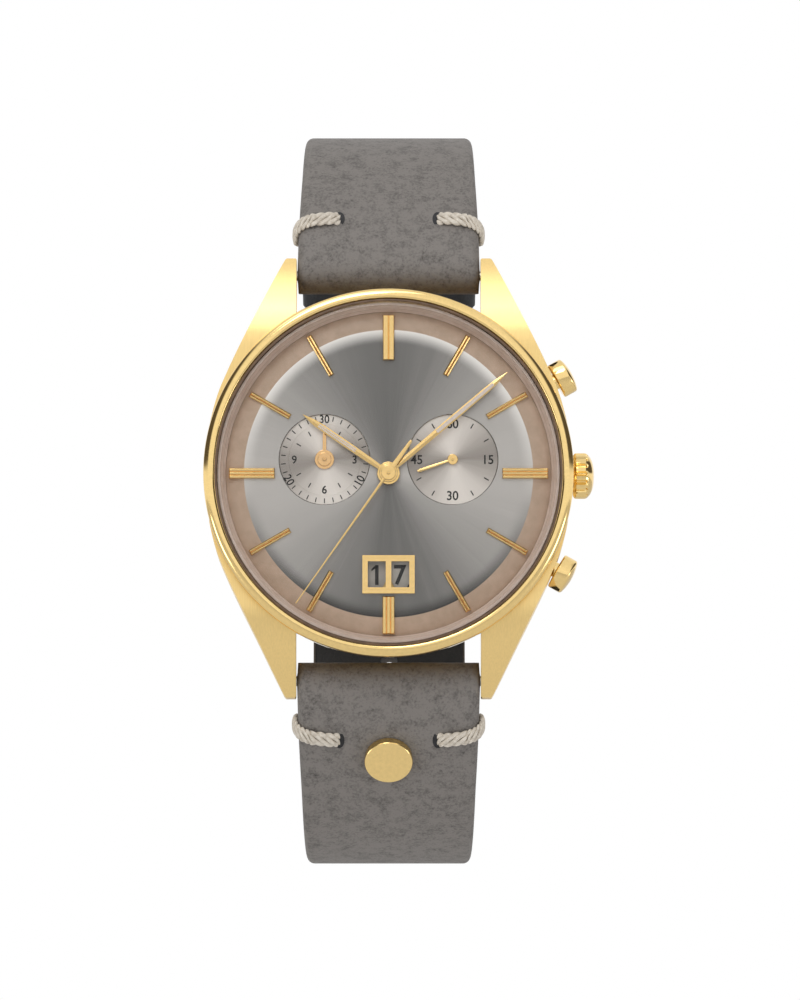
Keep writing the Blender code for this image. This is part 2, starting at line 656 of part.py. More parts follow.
def tip_marks(marks, total):
    kept = [mark for mark in marks if mark < total - TIP_LENGTH - 0.5]
    return kept + [total - TIP_LENGTH * share for share in (1, 0.7, 0.45, 0.25, 0.1, 0.03, 0)]


def lining_shape(arcs, straight, sign, buckled):
    marks, total = strap_stations(arcs, straight, LINING_START)
    marks = [LINING_START] + marks
    if buckled:
        marks = [mark for mark in marks if mark < total - 4.6] + [total - 4.06]
    else:
        marks = tip_marks(marks, total)
    rings = []
    for s in marks:
        t = thickness(s, total, buckled)
        half = half_width(s, total, not buckled) - 0.25
        section = [(-half, -t / 2), (half, -t / 2), (half, -t / 2 + LINING_T), (-half, -t / 2 + LINING_T)]
        rings.append([strap_place(arcs, sign, s, x, lift) for x, lift in section])
    return loft(rings)


def across_strap(arcs, sign, s, r, low, high, segments):
    """A rod through the strap at right angles to it."""
    rings = []
    for lift in (low, high):
        circle = disc_outline(0, s, r, segments)
        u, h, slope = centreline(arcs, s)
        section = []
        for x, along in circle:
            step = along - s
            y = sign * (u + step * math.cos(slope) + lift * math.sin(slope))
            section.append((x, y, h - step * math.sin(slope) + lift * math.cos(slope)))
        rings.append(section)
    return loft(rings)


def thread_shape(arcs, sign, side, total):
    """A flat waxed thread lying over the strap's rounded edge."""
    t = thickness(THREAD_S, total, False)
    half = half_width(THREAD_S, total, False)
    lift, thick, wide = 0.4, 0.34, 0.88
    top = t / 2
    path = [(THREAD_X + step, top + lift, 0.0, 1.0) for step in (0.0, 1.2, 2.4)]
    corner_x, corner_n = half - EDGE_ROUND, top - EDGE_ROUND
    reach = EDGE_ROUND + lift
    for degrees in (90, 65, 40, 20, 0):
        angle = math.radians(degrees)
        nx, nn = math.cos(angle), math.sin(angle)
        path.append((corner_x + reach * nx, corner_n + reach * nn, nx, nn))
    path.append((half + lift, corner_n - 0.6, 1.0, 0.0))
    rings = []
    for index, (x, lifted, nx, nn) in enumerate(path):
        slant = -1.4 * index / (len(path) - 1)
        section = []
        for k in range(8):
            around = TAU * k / 8
            out = thick * math.cos(around)
            along = wide * math.sin(around)
            across = side * (x + out * nx)
            section.append(strap_place(arcs, sign, THREAD_S + slant + along, across, lifted + out * nn))
        rings.append(section)
    return loft(rings)


def keeper_shape(arcs, sign, s, half_length, below, above, half_in):
    """A closed band around the strap, drawn along the strap's own direction at s."""
    wall = 0.9
    u, h, slope = centreline(arcs, s)
    outer = [(-half_in - wall, -below - wall), (half_in + wall, -below - wall)]
    outer += [(half_in + wall, above + wall), (-half_in - wall, above + wall)]
    inner = [(-half_in, -below), (half_in, -below), (half_in, above), (-half_in, above)]
    points = []
    for along in (-half_length, half_length):
        for x, lift in outer + inner:
            y = sign * (u + along * math.cos(slope) + lift * math.sin(slope))
            points.append((x, y, h - along * math.sin(slope) + lift * math.cos(slope)))
    faces = []
    for i in range(4):
        j = (i + 1) % 4
        faces.append([i, j, 4 + j, 4 + i])
        faces.append([8 + i, 8 + j, 12 + j, 12 + i])
        faces.append([i, j, 8 + j, 8 + i])
        faces.append([4 + i, 4 + j, 12 + j, 12 + i])
    return points, faces


def build_strap(name, arcs, straight, sign, buckled):
    bar = (0, sign * BAR_Y, BAR_H)
    total = full_length(arcs, straight)
    leather = piece(f"{name}_strap", LEATHER, leather_shape(arcs, straight, sign, buckled), bar)
    change(leather, "DIFFERENCE", "bar_hole", rod(BAR_HOLE_R, -12, 12), bar, radial(0))
    lining = piece(f"{name}_lining", LINING, lining_shape(arcs, straight, sign, buckled), bar)
    pin = [(0, -11.3), (0.5, -11.3), (0.55, -10.95), (0.55, -10.42), (0.85, -10.36), (0.85, 10.36)]
    pin += [(0.55, 10.42), (0.55, 10.95), (0.5, 11.3), (0, 11.3)]
    piece(f"{name}_spring_bar", STEEL, lathe(pin, 12), bar, radial(0))
    for side, label in ((-1, "left"), (1, "right")):
        piece(f"{name}_{label}_thread", THREAD, thread_shape(arcs, sign, side, total), bar)
    return leather, lining, bar, total


def build_buckle(bar, total):
    """A tongue buckle at the end of the upper half, hung on its own bar."""
    u, h, _ = centreline(UPPER_ARCS, total)
    pivot = (0, bar[1] + u, bar[2] + h)
    arm = [(-1.3, -1.0), (-0.8, -1.25), (10.5, -1.25), (12.9, -1.0), (13.1, 0.0), (12.7, 0.75)]
    arm += [(10.5, 0.75), (-0.8, 0.75), (-1.3, 0.4)]
    frame = piece("buckle_frame", GOLD, side_prism([(-y, z) for y, z in arm], -11.4, 11.4), pivot)
    change(frame, "DIFFERENCE", "window", box(-9.42, 9.42, -10.6, 3, -3, 3), pivot)
    change(frame, "DIFFERENCE", "bar_hole", rod(0.63, -10.9, 10.9), pivot, radial(0))
    piece("buckle_bar", STEEL, rod(0.58, -10.85, 10.85, 14), pivot, radial(0))
    prong = [(0.0, 0.3), (-2.0, -0.5), (-9.5, -1.36), (-12.2, -1.32), (-13.6, -0.95), (-13.6, -1.5)]
    prong += [(-12.2, -2.1), (-9.5, -2.2), (-2.0, -1.4), (0.0, -1.2)]
    tongue = piece("buckle_tongue", GOLD, side_prism(prong, -0.8, 0.8), pivot)
    change(tongue, "UNION", "eye_wall", rod(1.3, -1.1, 1.1, 20), pivot, radial(0))
    change(tongue, "DIFFERENCE", "eye", rod(0.66, -2, 2, 16), pivot, radial(0))


def build_wrist_strap():
    leather, lining, bar, total = build_strap("upper", UPPER_ARCS, UPPER_STRAIGHT, 1, True)
    u, h, _ = centreline(UPPER_ARCS, total)
    end = (0, bar[1] + u, bar[2] + h)
    change(leather, "DIFFERENCE", "buckle_hole", rod(0.7, -12, 12), end, radial(0))
    change(leather, "DIFFERENCE", "tongue_slot", box(-1.5, 1.5, -3, 2.4, -4, 4), end)
    build_buckle(bar, total)
    shape = keeper_shape(UPPER_ARCS, 1, total - FIXED_KEEPER_FROM_END, 2.2, 1.36, 4.3, 9.25)
    piece("fixed_keeper", LEATHER, shape, bar)
    shape = keeper_shape(UPPER_ARCS, 1, total - FREE_KEEPER_FROM_END, 2.4, 1.85, 4.2, 9.4)
    piece("free_keeper", LEATHER, shape, bar)

    leather, lining, bar, total = build_strap("lower", LOWER_ARCS, LOWER_STRAIGHT, -1, False)
    punched = []
    for i in range(HOLE_COUNT):
        s = total - HOLE_FROM_TIP - HOLE_PITCH * i
        punched.append(across_strap(LOWER_ARCS, -1, s, HOLE_R, -3, 3, 12))
    change(leather, "DIFFERENCE", "holes", together(punched), bar)
    change(lining, "DIFFERENCE", "holes", together(punched), bar)
    t = thickness(STUD_S, total, False)
    change(leather, "DIFFERENCE", "stud_hole", across_strap(LOWER_ARCS, -1, STUD_S, 0.95, 0, 4, 12), bar)
    u, h, slope = centreline(LOWER_ARCS, STUD_S)
    place = (0, bar[1] - u - t / 2 * math.sin(slope), bar[2] + h + t / 2 * math.cos(slope))
    stud = [(0, -1.2), (0.9, -1.2), (0.9, 0.12), (2.75, 0.12), (2.75, 1.1), (2.6, 1.25), (0, 1.25)]
    piece("strap_stud", GOLD, lathe(stud, 24), place, (slope, 0, 0))


clear_scene()
ROOT = bpy.data.objects.new("watch_frame", None)
bpy.context.collection.objects.link(ROOT)
ROOT.rotation_euler = (math.pi / 2, 0, 0)
build_case()
build_controls()
build_dial()
build_hands()
build_movement()
build_wrist_strap()
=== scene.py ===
"""Visual model of the chronograph wristwatch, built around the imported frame."""

import math

import bmesh
import bpy
from mathutils import Matrix, Vector


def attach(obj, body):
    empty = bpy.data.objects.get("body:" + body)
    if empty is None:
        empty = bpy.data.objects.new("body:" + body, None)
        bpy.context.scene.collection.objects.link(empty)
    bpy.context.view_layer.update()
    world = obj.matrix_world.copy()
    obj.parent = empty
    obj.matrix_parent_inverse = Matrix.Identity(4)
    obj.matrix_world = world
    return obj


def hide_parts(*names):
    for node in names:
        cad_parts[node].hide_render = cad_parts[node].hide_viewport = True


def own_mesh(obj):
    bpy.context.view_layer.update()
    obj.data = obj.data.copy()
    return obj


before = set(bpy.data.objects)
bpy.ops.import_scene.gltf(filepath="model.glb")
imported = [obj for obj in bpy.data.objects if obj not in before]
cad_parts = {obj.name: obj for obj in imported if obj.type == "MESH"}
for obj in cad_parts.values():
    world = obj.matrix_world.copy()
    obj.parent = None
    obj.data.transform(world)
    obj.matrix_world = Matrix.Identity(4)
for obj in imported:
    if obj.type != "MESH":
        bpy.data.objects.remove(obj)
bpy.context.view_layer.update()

MM = 0.001
TAU = 2 * math.pi
UP = Matrix(((1, 0, 0), (0, 0, -1), (0, 1, 0)))  # dial-up (x, y, h) to the row frame

# camera
VIEW_BELOW = math.radians(5.9)
VIEW_DISTANCE = 1.0
FRAME_HEIGHT_M = 0.11325
BEZEL_H = 8.5
SENSOR = 36.0

toward = Vector((0, -math.cos(VIEW_BELOW), -math.sin(VIEW_BELOW)))
image_up = Vector((0, -math.sin(VIEW_BELOW), math.cos(VIEW_BELOW)))
aim = Vector((0.0013, -BEZEL_H * MM, 0)) - image_up * 0.00314
camera_data = bpy.data.cameras.new("view_camera")
camera_data.sensor_width = SENSOR
camera_data.lens = SENSOR * VIEW_DISTANCE / FRAME_HEIGHT_M
camera_data.clip_start = 0.01
camera = bpy.data.objects.new("view_camera", camera_data)
camera.location = aim + toward * VIEW_DISTANCE
camera.rotation_mode = "QUATERNION"
camera.rotation_quaternion = (-toward).to_track_quat("-Z", "Y")
bpy.context.collection.objects.link(camera)
bpy.context.scene.camera = camera
bpy.context.scene.view_settings.view_transform = "Standard"


# materials
def new_material(name):
    made = bpy.data.materials.new(name)
    made.use_nodes = True
    tree = made.node_tree
    return made, tree, tree.nodes["Principled BSDF"]


def node(tree, kind, **settings):
    made = tree.nodes.new(kind)
    for key, value in settings.items():
        if key in made.inputs.keys():
            made.inputs[key].default_value = value
        else:
            setattr(made, key, value)
    return made


def object_coordinates(tree, stretch=(1, 1, 1)):
    place = node(tree, "ShaderNodeTexCoord")
    mapping = node(tree, "ShaderNodeMapping")
    mapping.inputs["Scale"].default_value = stretch
    tree.links.new(place.outputs["Object"], mapping.inputs["Vector"])
    return mapping.outputs["Vector"]


def ramp(tree, source, stops):
    made = node(tree, "ShaderNodeValToRGB")
    elements = made.color_ramp.elements
    for i, (position, value) in enumerate(stops):
        element = elements[i] if i < 2 else elements.new(position)
        element.position = position
        colour = value if isinstance(value, tuple) else (value, value, value)
        element.color = (*colour, 1)
    tree.links.new(source, made.inputs["Fac"])
    return made.outputs["Color"]


def noise(tree, vector, scale, detail=4.0, roughness=0.6):
    made = node(tree, "ShaderNodeTexNoise", Scale=scale, Detail=detail, Roughness=roughness)
    tree.links.new(vector, made.inputs["Vector"])
    return made.outputs["Fac"]


def feed(tree, socket, value):
    if isinstance(value, bpy.types.NodeSocket):
        tree.links.new(value, socket)
    else:
        socket.default_value = value


def op(tree, operation, *values):
    made = node(tree, "ShaderNodeMath", operation=operation)
    for socket, value in zip(made.inputs, values):
        feed(tree, socket, value)
    return made.outputs["Value"]


def remap(tree, source, low, high, to_low=0.0, to_high=1.0, smooth=False):
    ends = {"From Min": low, "From Max": high, "To Min": to_low, "To Max": to_high}
    made = node(tree, "ShaderNodeMapRange", **ends)
    if smooth:
        made.interpolation_type = "SMOOTHSTEP"
    tree.links.new(source, made.inputs["Value"])
    return made.outputs["Result"]


def mixed(tree, share, first, second, blend="MIX"):
    made = node(tree, "ShaderNodeMix", data_type="RGBA", blend_type=blend)
    for key, value in (("Factor", share), ("A", first), ("B", second)):
        feed(tree, made.inputs[key], value)
    return made.outputs["Result"]


def parts_of(tree, vector):
    made = node(tree, "ShaderNodeSeparateXYZ")
    tree.links.new(vector, made.inputs["Vector"])
    return made.outputs


def bump(tree, shader, height, strength, distance):
    made = node(tree, "ShaderNodeBump", Strength=strength, Distance=distance)
    tree.links.new(height, made.inputs["Height"])
    tree.links.new(made.outputs["Normal"], shader.inputs["Normal"])


def metal(name, colour, low_rough, high_rough, stretch=(1, 1, 1), scale=900.0, strength=0.0):
    """A metal whose gloss and tint vary with fine grain, drawn out into brushing by stretch."""
    made, tree, shader = new_material(name)
    grain = noise(tree, object_coordinates(tree, stretch), scale, 5.0)
    darker = tuple(value * 0.9 for value in colour)
    tree.links.new(ramp(tree, grain, ((0.3, darker), (0.7, colour))), shader.inputs["Base Color"])
    tree.links.new(remap(tree, grain, 0, 1, low_rough, high_rough), shader.inputs["Roughness"])
    shader.inputs["Metallic"].default_value = 1.0
    if strength:
        bump(tree, shader, grain, strength, 0.00002)
    return made


def matt(name, dark, light, rough, scale, strength=0.2, distance=0.00003):
    made, tree, shader = new_material(name)
    grain = noise(tree, object_coordinates(tree), scale, 6.0)
    tree.links.new(ramp(tree, grain, ((0.3, dark), (0.7, light))), shader.inputs["Base Color"])
    shader.inputs["Roughness"].default_value = rough
    bump(tree, shader, grain, strength, distance)
    return made


def polar(tree, centre):
    """The unit direction from the centre in the dial plane, and the radius."""
    place = node(tree, "ShaderNodeTexCoord")
    shift = node(tree, "ShaderNodeVectorMath", operation="SUBTRACT")
    shift.inputs[1].default_value = (centre[0] * MM, 0, centre[1] * MM)
    flat = node(tree, "ShaderNodeVectorMath", operation="MULTIPLY")
    flat.inputs[1].default_value = (1, 0, 1)
    tree.links.new(place.outputs["Object"], shift.inputs[0])
    tree.links.new(shift.outputs["Vector"], flat.inputs[0])
    unit = node(tree, "ShaderNodeVectorMath", operation="NORMALIZE")
    length = node(tree, "ShaderNodeVectorMath", operation="LENGTH")
    tree.links.new(flat.outputs["Vector"], unit.inputs[0])
    tree.links.new(flat.outputs["Vector"], length.inputs[0])
    return unit.outputs["Vector"], length.outputs["Value"]


def rolled_edge(tree, unit, radius, colour):
    """The dial's falling edge with painted light: a painted highlight where it faces up the dial, painted
    shade where it faces down.
    """
    edge = remap(tree, radius, 0.0148, 0.0166, smooth=True)
    upward = parts_of(tree, unit)["Z"]
    for low, high, painted_light_tint in ((-0.25, 0.6, (0.93, 0.9, 0.87, 1)), (-0.1, -0.9, (0.06, 0.058, 0.056, 1))):
        share = op(tree, "MULTIPLY", edge, remap(tree, upward, low, high))
        colour = mixed(tree, share, colour, painted_light_tint)
    return colour


def sunray(name, centre, painted_sheen_angle, dark, light, rough, azurage=0.0, metallic=0.55, paint_edge_light=False):
    """A brushed face with painted sheen: bright sectors on opposite sides of its centre are painted into the
    colour.
    """
    made, tree, shader = new_material(name)
    unit, radius = polar(tree, centre)
    axis = node(tree, "ShaderNodeVectorMath", operation="DOT_PRODUCT")
    axis.inputs[1].default_value = (math.cos(painted_sheen_angle), 0, math.sin(painted_sheen_angle))
    tree.links.new(unit, axis.inputs[0])
    # painted sheen: the colour brightens towards the sheen direction, in two opposite sectors
    painted_sheen_sectors = op(tree, "POWER", op(tree, "ABSOLUTE", axis.outputs["Value"]), 1.7)
    streaks = noise(tree, unit, 70.0, 8.0, 0.75)
    wide = noise(tree, unit, 5.0, 2.0, 0.5)
    total = op(tree, "MULTIPLY_ADD", wide, 0.3, op(tree, "MULTIPLY_ADD", streaks, 0.34, painted_sheen_sectors))
    colour = ramp(tree, remap(tree, total, 0.25, 1.3), ((0.0, dark), (1.0, light)))
    # painted highlight and painted shade on the dial's falling edge
    if paint_edge_light:
        colour = rolled_edge(tree, unit, radius, colour)
    tree.links.new(colour, shader.inputs["Base Color"])
    shader.inputs["Metallic"].default_value = metallic
    shader.inputs["Roughness"].default_value = rough
    height = streaks
    if azurage:
        height = op(tree, "SINE", op(tree, "MULTIPLY", radius, TAU / (azurage * MM)))
    bump(tree, shader, height, 0.12, 0.00002)
    return made


def crystal_material():
    """Clear sapphire: see-through, with a coated surface that reflects a little."""
    made = bpy.data.materials.new("sapphire_crystal")
    made.use_nodes = True
    tree = made.node_tree
    tree.nodes.remove(tree.nodes["Principled BSDF"])
    clear = node(tree, "ShaderNodeBsdfTransparent")
    clear.inputs["Color"].default_value = (0.985, 0.985, 0.98, 1)
    gloss = node(tree, "ShaderNodeBsdfGlossy")
    smudge = noise(tree, object_coordinates(tree), 300.0, 2.0)
    tree.links.new(remap(tree, smudge, 0, 1, 0.01, 0.04), gloss.inputs["Roughness"])
    fresnel = node(tree, "ShaderNodeFresnel", IOR=1.16)
    mix = node(tree, "ShaderNodeMixShader")
    tree.links.new(fresnel.outputs["Fac"], mix.inputs["Fac"])
    tree.links.new(clear.outputs["BSDF"], mix.inputs[1])
    tree.links.new(gloss.outputs["BSDF"], mix.inputs[2])
    tree.links.new(mix.outputs["Shader"], tree.nodes["Material Output"].inputs["Surface"])
    return made


def leather_material(name, dark, light, rough):
    made, tree, shader = new_material(name)
    place = object_coordinates(tree)
    clouds = noise(tree, place, 700.0, 6.0, 0.7)
    pores = noise(tree, place, 3400.0, 3.0, 0.75)
    cells = node(tree, "ShaderNodeTexVoronoi", Scale=1500.0)
    cells.feature = "DISTANCE_TO_EDGE"
    tree.links.new(place, cells.inputs["Vector"])
    tone = op(tree, "MULTIPLY_ADD", pores, 0.9, clouds)
    middle = ramp(tree, tone, ((0.62, dark), (1.0, light)))
    # painted shade: the leather turns darker and browner towards the fold round the spring bar
    away = op(tree, "ABSOLUTE", parts_of(tree, place)["Z"])
    fold_shade_mask = remap(tree, away, 0.0205, 0.0245)
    shade = ramp(tree, fold_shade_mask, ((0.0, (0.5, 0.43, 0.36)), (1.0, (1.0, 1.0, 1.0))))
    colour = mixed(tree, 1.0, middle, shade, "MULTIPLY")
    tree.links.new(colour, shader.inputs["Base Color"])
    creases = ramp(tree, cells.outputs["Distance"], ((0.0, 0.0), (0.12, 1.0)))
    height = op(tree, "MULTIPLY_ADD", creases, 0.5, pores)
    bump(tree, shader, height, 0.55, 0.00006)
    shader.inputs["Roughness"].default_value = rough
    shader.inputs["Specular IOR Level"].default_value = 0.4
    return made


GOLD = (1.0, 0.73, 0.31)
ROSE = (0.86, 0.55, 0.27)
polished = metal("polished_gold", GOLD, 0.05, 0.13, scale=2500.0)
satin = metal("satin_gold", GOLD, 0.24, 0.42, (60, 60, 2.5), 120.0, 0.25)
hand_gold = metal("hand_gold", (0.95, 0.66, 0.28), 0.12, 0.22, scale=3000.0)
hub_gold = metal("hub_gold", ROSE, 0.16, 0.28, scale=3000.0)
steel = metal("brushed_steel", (0.58, 0.57, 0.55), 0.22, 0.4, (6, 90, 90), 60.0, 0.1)
plain_steel = metal("plain_steel", (0.6, 0.59, 0.57), 0.2, 0.32, scale=1500.0)
brass = metal("movement_brass", (0.72, 0.53, 0.24), 0.25, 0.42, (40, 40, 40), 40.0, 0.1)
copper = metal("coil_copper", (0.66, 0.28, 0.12), 0.3, 0.5, (20, 400, 20), 60.0, 0.5)
board = matt("board_green", (0.02, 0.09, 0.05), (0.05, 0.17, 0.09), 0.35, 700.0)
rubber = matt("gasket_rubber", (0.012, 0.012, 0.012), (0.03, 0.03, 0.03), 0.7, 900.0)
plastic = matt("pale_plastic", (0.6, 0.59, 0.56), (0.72, 0.71, 0.68), 0.45, 500.0)
disc_grey = matt("date_disc_grey", (0.42, 0.40, 0.37), (0.5, 0.475, 0.445), 0.55, 1500.0)
ink = matt("black_ink", (0.006, 0.006, 0.006), (0.014, 0.013, 0.013), 0.4, 2000.0)
inlay = matt("hand_inlay", (0.78, 0.66, 0.6), (0.9, 0.79, 0.72), 0.5, 3000.0)
flange_look = matt("flange_satin", (0.78, 0.6, 0.5), (0.88, 0.72, 0.63), 0.22, 900.0, 0.02)
seal_look = matt("seal_brown", (0.12, 0.07, 0.04), (0.2, 0.12, 0.07), 0.4, 900.0, 0.02)
rim_look = matt("dial_rim", (0.5, 0.36, 0.26), (0.6, 0.44, 0.33), 0.35, 900.0, 0.02)
thread_look = matt("waxed_thread", (0.52, 0.46, 0.38), (0.78, 0.72, 0.63), 0.6, 2200.0, 0.6, 0.00008)
leather = leather_material("grey_leather", (0.07, 0.063, 0.058), (0.215, 0.197, 0.182), 0.6)
lining_look = leather_material("black_lining", (0.006, 0.006, 0.007), (0.02, 0.02, 0.022), 0.5)
crystal_look = crystal_material()
# the dial's colour runs from DIAL_DARK to DIAL_LIGHT across grain streaks and painted sheen sectors
DIAL_DARK, DIAL_LIGHT = (0.15, 0.147, 0.143), (0.54, 0.515, 0.495)
# the dial also gets a painted highlight and painted shade on its falling edge
dial_look = sunray("dial_sunray_painted_sheen", (0, 0), math.radians(3), DIAL_DARK, DIAL_LIGHT, 0.4, paint_edge_light=True)
DARK, LIGHT = (0.33, 0.295, 0.27), (0.86, 0.8, 0.75)
# the counters' bright sectors are painted sheen, set at this angle
PAINTED_SHEEN_ANGLE = math.radians(100)
left_look = sunray("left_counter", (-7.27, 1.6), PAINTED_SHEEN_ANGLE, DARK, LIGHT, 0.36, 0.09, 0.3)
right_look = sunray("right_counter", (7.27, 1.6), PAINTED_SHEEN_ANGLE, DARK, LIGHT, 0.36, 0.09, 0.3)


# mesh building
def piece(name, shape, look, body, stands_for=(), sharp=35):
    """A piece from (points in dial-up mm, faces), riding on a body."""
    points, faces = shape
    mesh = bpy.data.meshes.new(name)
    mesh.from_pydata([UP @ Vector(point) * MM for point in points], [], faces)
    work = bmesh.new()
    work.from_mesh(mesh)
    bmesh.ops.recalc_face_normals(work, faces=work.faces)
    work.to_mesh(mesh)
    work.free()
    mesh.shade_smooth()
    mesh.set_sharp_from_angle(angle=math.radians(sharp))
    made = bpy.data.objects.new(name, mesh)
    bpy.context.collection.objects.link(made)
    mesh.materials.append(look)
    if body:
        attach(made, body)
    if stands_for:
        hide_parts(*stands_for)
    return made


def add_bevel(obj, width, segments=2):
    modifier = obj.modifiers.new("edge", "BEVEL")
    modifier.width = width * MM
    modifier.segments = segments
    modifier.limit_method = "ANGLE"
    modifier.angle_limit = math.radians(32)
    modifier.harden_normals = True


def cut(target, operation, label, shape):
    """A Boolean with a helper that is removed once it is applied."""
    helper = piece(f"{target.name}_{label}", shape, polished, None)
    modifier = target.modifiers.new(label, "BOOLEAN")
    modifier.object = helper
    modifier.operation = operation
    modifier.solver = "EXACT"
    bpy.context.view_layer.update()
    graph = bpy.context.evaluated_depsgraph_get()
    mesh = bpy.data.meshes.new_from_object(target.evaluated_get(graph))
    target.modifiers.remove(modifier)
    old = target.data
    look = old.materials[0]
    target.data = mesh
    mesh.materials.clear()
    mesh.materials.append(look)
    for face in mesh.polygons:
        face.material_index = 0
    mesh.shade_smooth()
    mesh.set_sharp_from_angle(angle=math.radians(35))
    bpy.data.objects.remove(helper)
    bpy.data.meshes.remove(old)


def loft(rings):
    count = len(rings[0])
    points = [point for ring in rings for point in ring]
    faces = [list(range(count)), list(range(len(points) - count, len(points)))]
    for row in range(len(rings) - 1):
        low, high = row * count, (row + 1) * count
        for i in range(count):
            j = (i + 1) % count
            faces.append([low + i, low + j, high + j, high + i])
    return points, faces


def together(shapes):
    points, faces = [], []
    for more_points, more_faces in shapes:
        start = len(points)
        points += more_points
        faces += [[start + i for i in face] for face in more_faces]
    return points, faces


def prism(outline, low, high):
    return loft([[(x, y, h) for x, y in outline] for h in (low, high)])


def box(x0, x1, y0, y1, low, high):
    return prism([(x0, y0), (x1, y0), (x1, y1), (x0, y1)], low, high)


def lathe(profile, segments=160, at=(0, 0, 0), along=None):
    """A (radius, height) loop turned about h, or about a direction in the dial plane."""
    points, index = [], []
    for r, z in profile:
        on_axis = r < 1e-6
        index.append((len(points), on_axis))
        for i in range(1 if on_axis else segments):
            angle = TAU * i / segments
            a, b = r * math.cos(angle), r * math.sin(angle)
            if along is None:
                points.append((at[0] + a, at[1] + b, at[2] + z))
            else:
                c, s = math.cos(along), math.sin(along)
                points.append((at[0] + c * z - s * a, at[1] + s * z + c * a, at[2] + b))
    faces = []
    for (a, a_axis), (b, b_axis) in zip(index, index[1:] + index[:1]):
        if a_axis and b_axis:
            continue
        for i in range(segments):
            j = (i + 1) % segments
            if a_axis:
                faces.append([a, b + i, b + j])
            elif b_axis:
                faces.append([a + i, a + j, b])
            else:
                faces.append([a + i, a + j, b + j, b + i])
    return points, faces


def drill(target, label, r, start, end, at, along, segments=24):
    """A round hole of radius r along a direction in the dial plane."""
    rod = lathe([(0, start), (r, start), (r, end), (0, end)], segments, at, along)
    cut(target, "DIFFERENCE", label, rod)


def circle(x, y, r, count):
    return [(x + r * math.cos(TAU * i / count), y + r * math.sin(TAU * i / count)) for i in range(count)]


def smooth_line(points, steps):
    """Catmull-Rom points through a plan or profile line."""
    out = []
    for i in range(len(points) - 1):
        p = [Vector(points[max(0, min(len(points) - 1, i + k))]) for k in (-1, 0, 1, 2)]
        for k in range(steps):
            t = k / steps
            a = 2 * p[1] + (p[2] - p[0]) * t + (2 * p[0] - 5 * p[1] + 4 * p[2] - p[3]) * t * t
            out.append(tuple(0.5 * (a + (3 * p[1] - p[0] - 3 * p[2] + p[3]) * t ** 3)))
    return out + [tuple(points[-1])]


# case
CASE_R, INNER_R, LUG_X = 20.7, 20.2, 10.5
STEM_H = 4.5
PUSH_ANGLE = math.radians(29.5)
SPRING_IN, SPRING_OUT = 18.03, 19.87


def case_plan():
    flank = [(20.3, 5.6), (19.45, 8.9), (18.35, 11.6), (16.95, 14.6), (14.85, 18.85)]
    flank += [(12.95, 22.7), (11.9, 24.8)]
    quarter = []
    for degrees in range(0, 12, 2):
        angle = math.radians(degrees)
        quarter.append((CASE_R * math.cos(angle), CASE_R * math.sin(angle)))
    quarter += smooth_line([(CASE_R * math.cos(0.21), CASE_R * math.sin(0.21))] + flank, 5)[1:]
    quarter += [(11.75, 25.05), (11.6, 25.15), (10.62, 25.15), (LUG_X, 25.0)]
    meet = math.acos(LUG_X / INNER_R)
    for i in range(17):
        angle = meet + (math.pi / 2 - meet) * i / 16
        quarter.append((INNER_R * math.cos(angle), INNER_R * math.sin(angle)))
    upper = quarter + [(-x, y) for x, y in reversed(quarter[:-1])]
    return upper + [(x, -y) for x, y in reversed(upper[1:-1])]


def case_side():
    top = [(14.0, 7.2), (15.4, 7.17), (17.0, 6.95), (19.4, 6.3), (21.6, 5.3), (23.6, 4.1), (25.2, 2.9)]
    line = smooth_line(top, 5) + [(25.2, 0.5), (24.6, 0.15), (23.0, 0.3), (19.6, 1.3)]
    return line + [(-y, h) for y, h in reversed(line)]


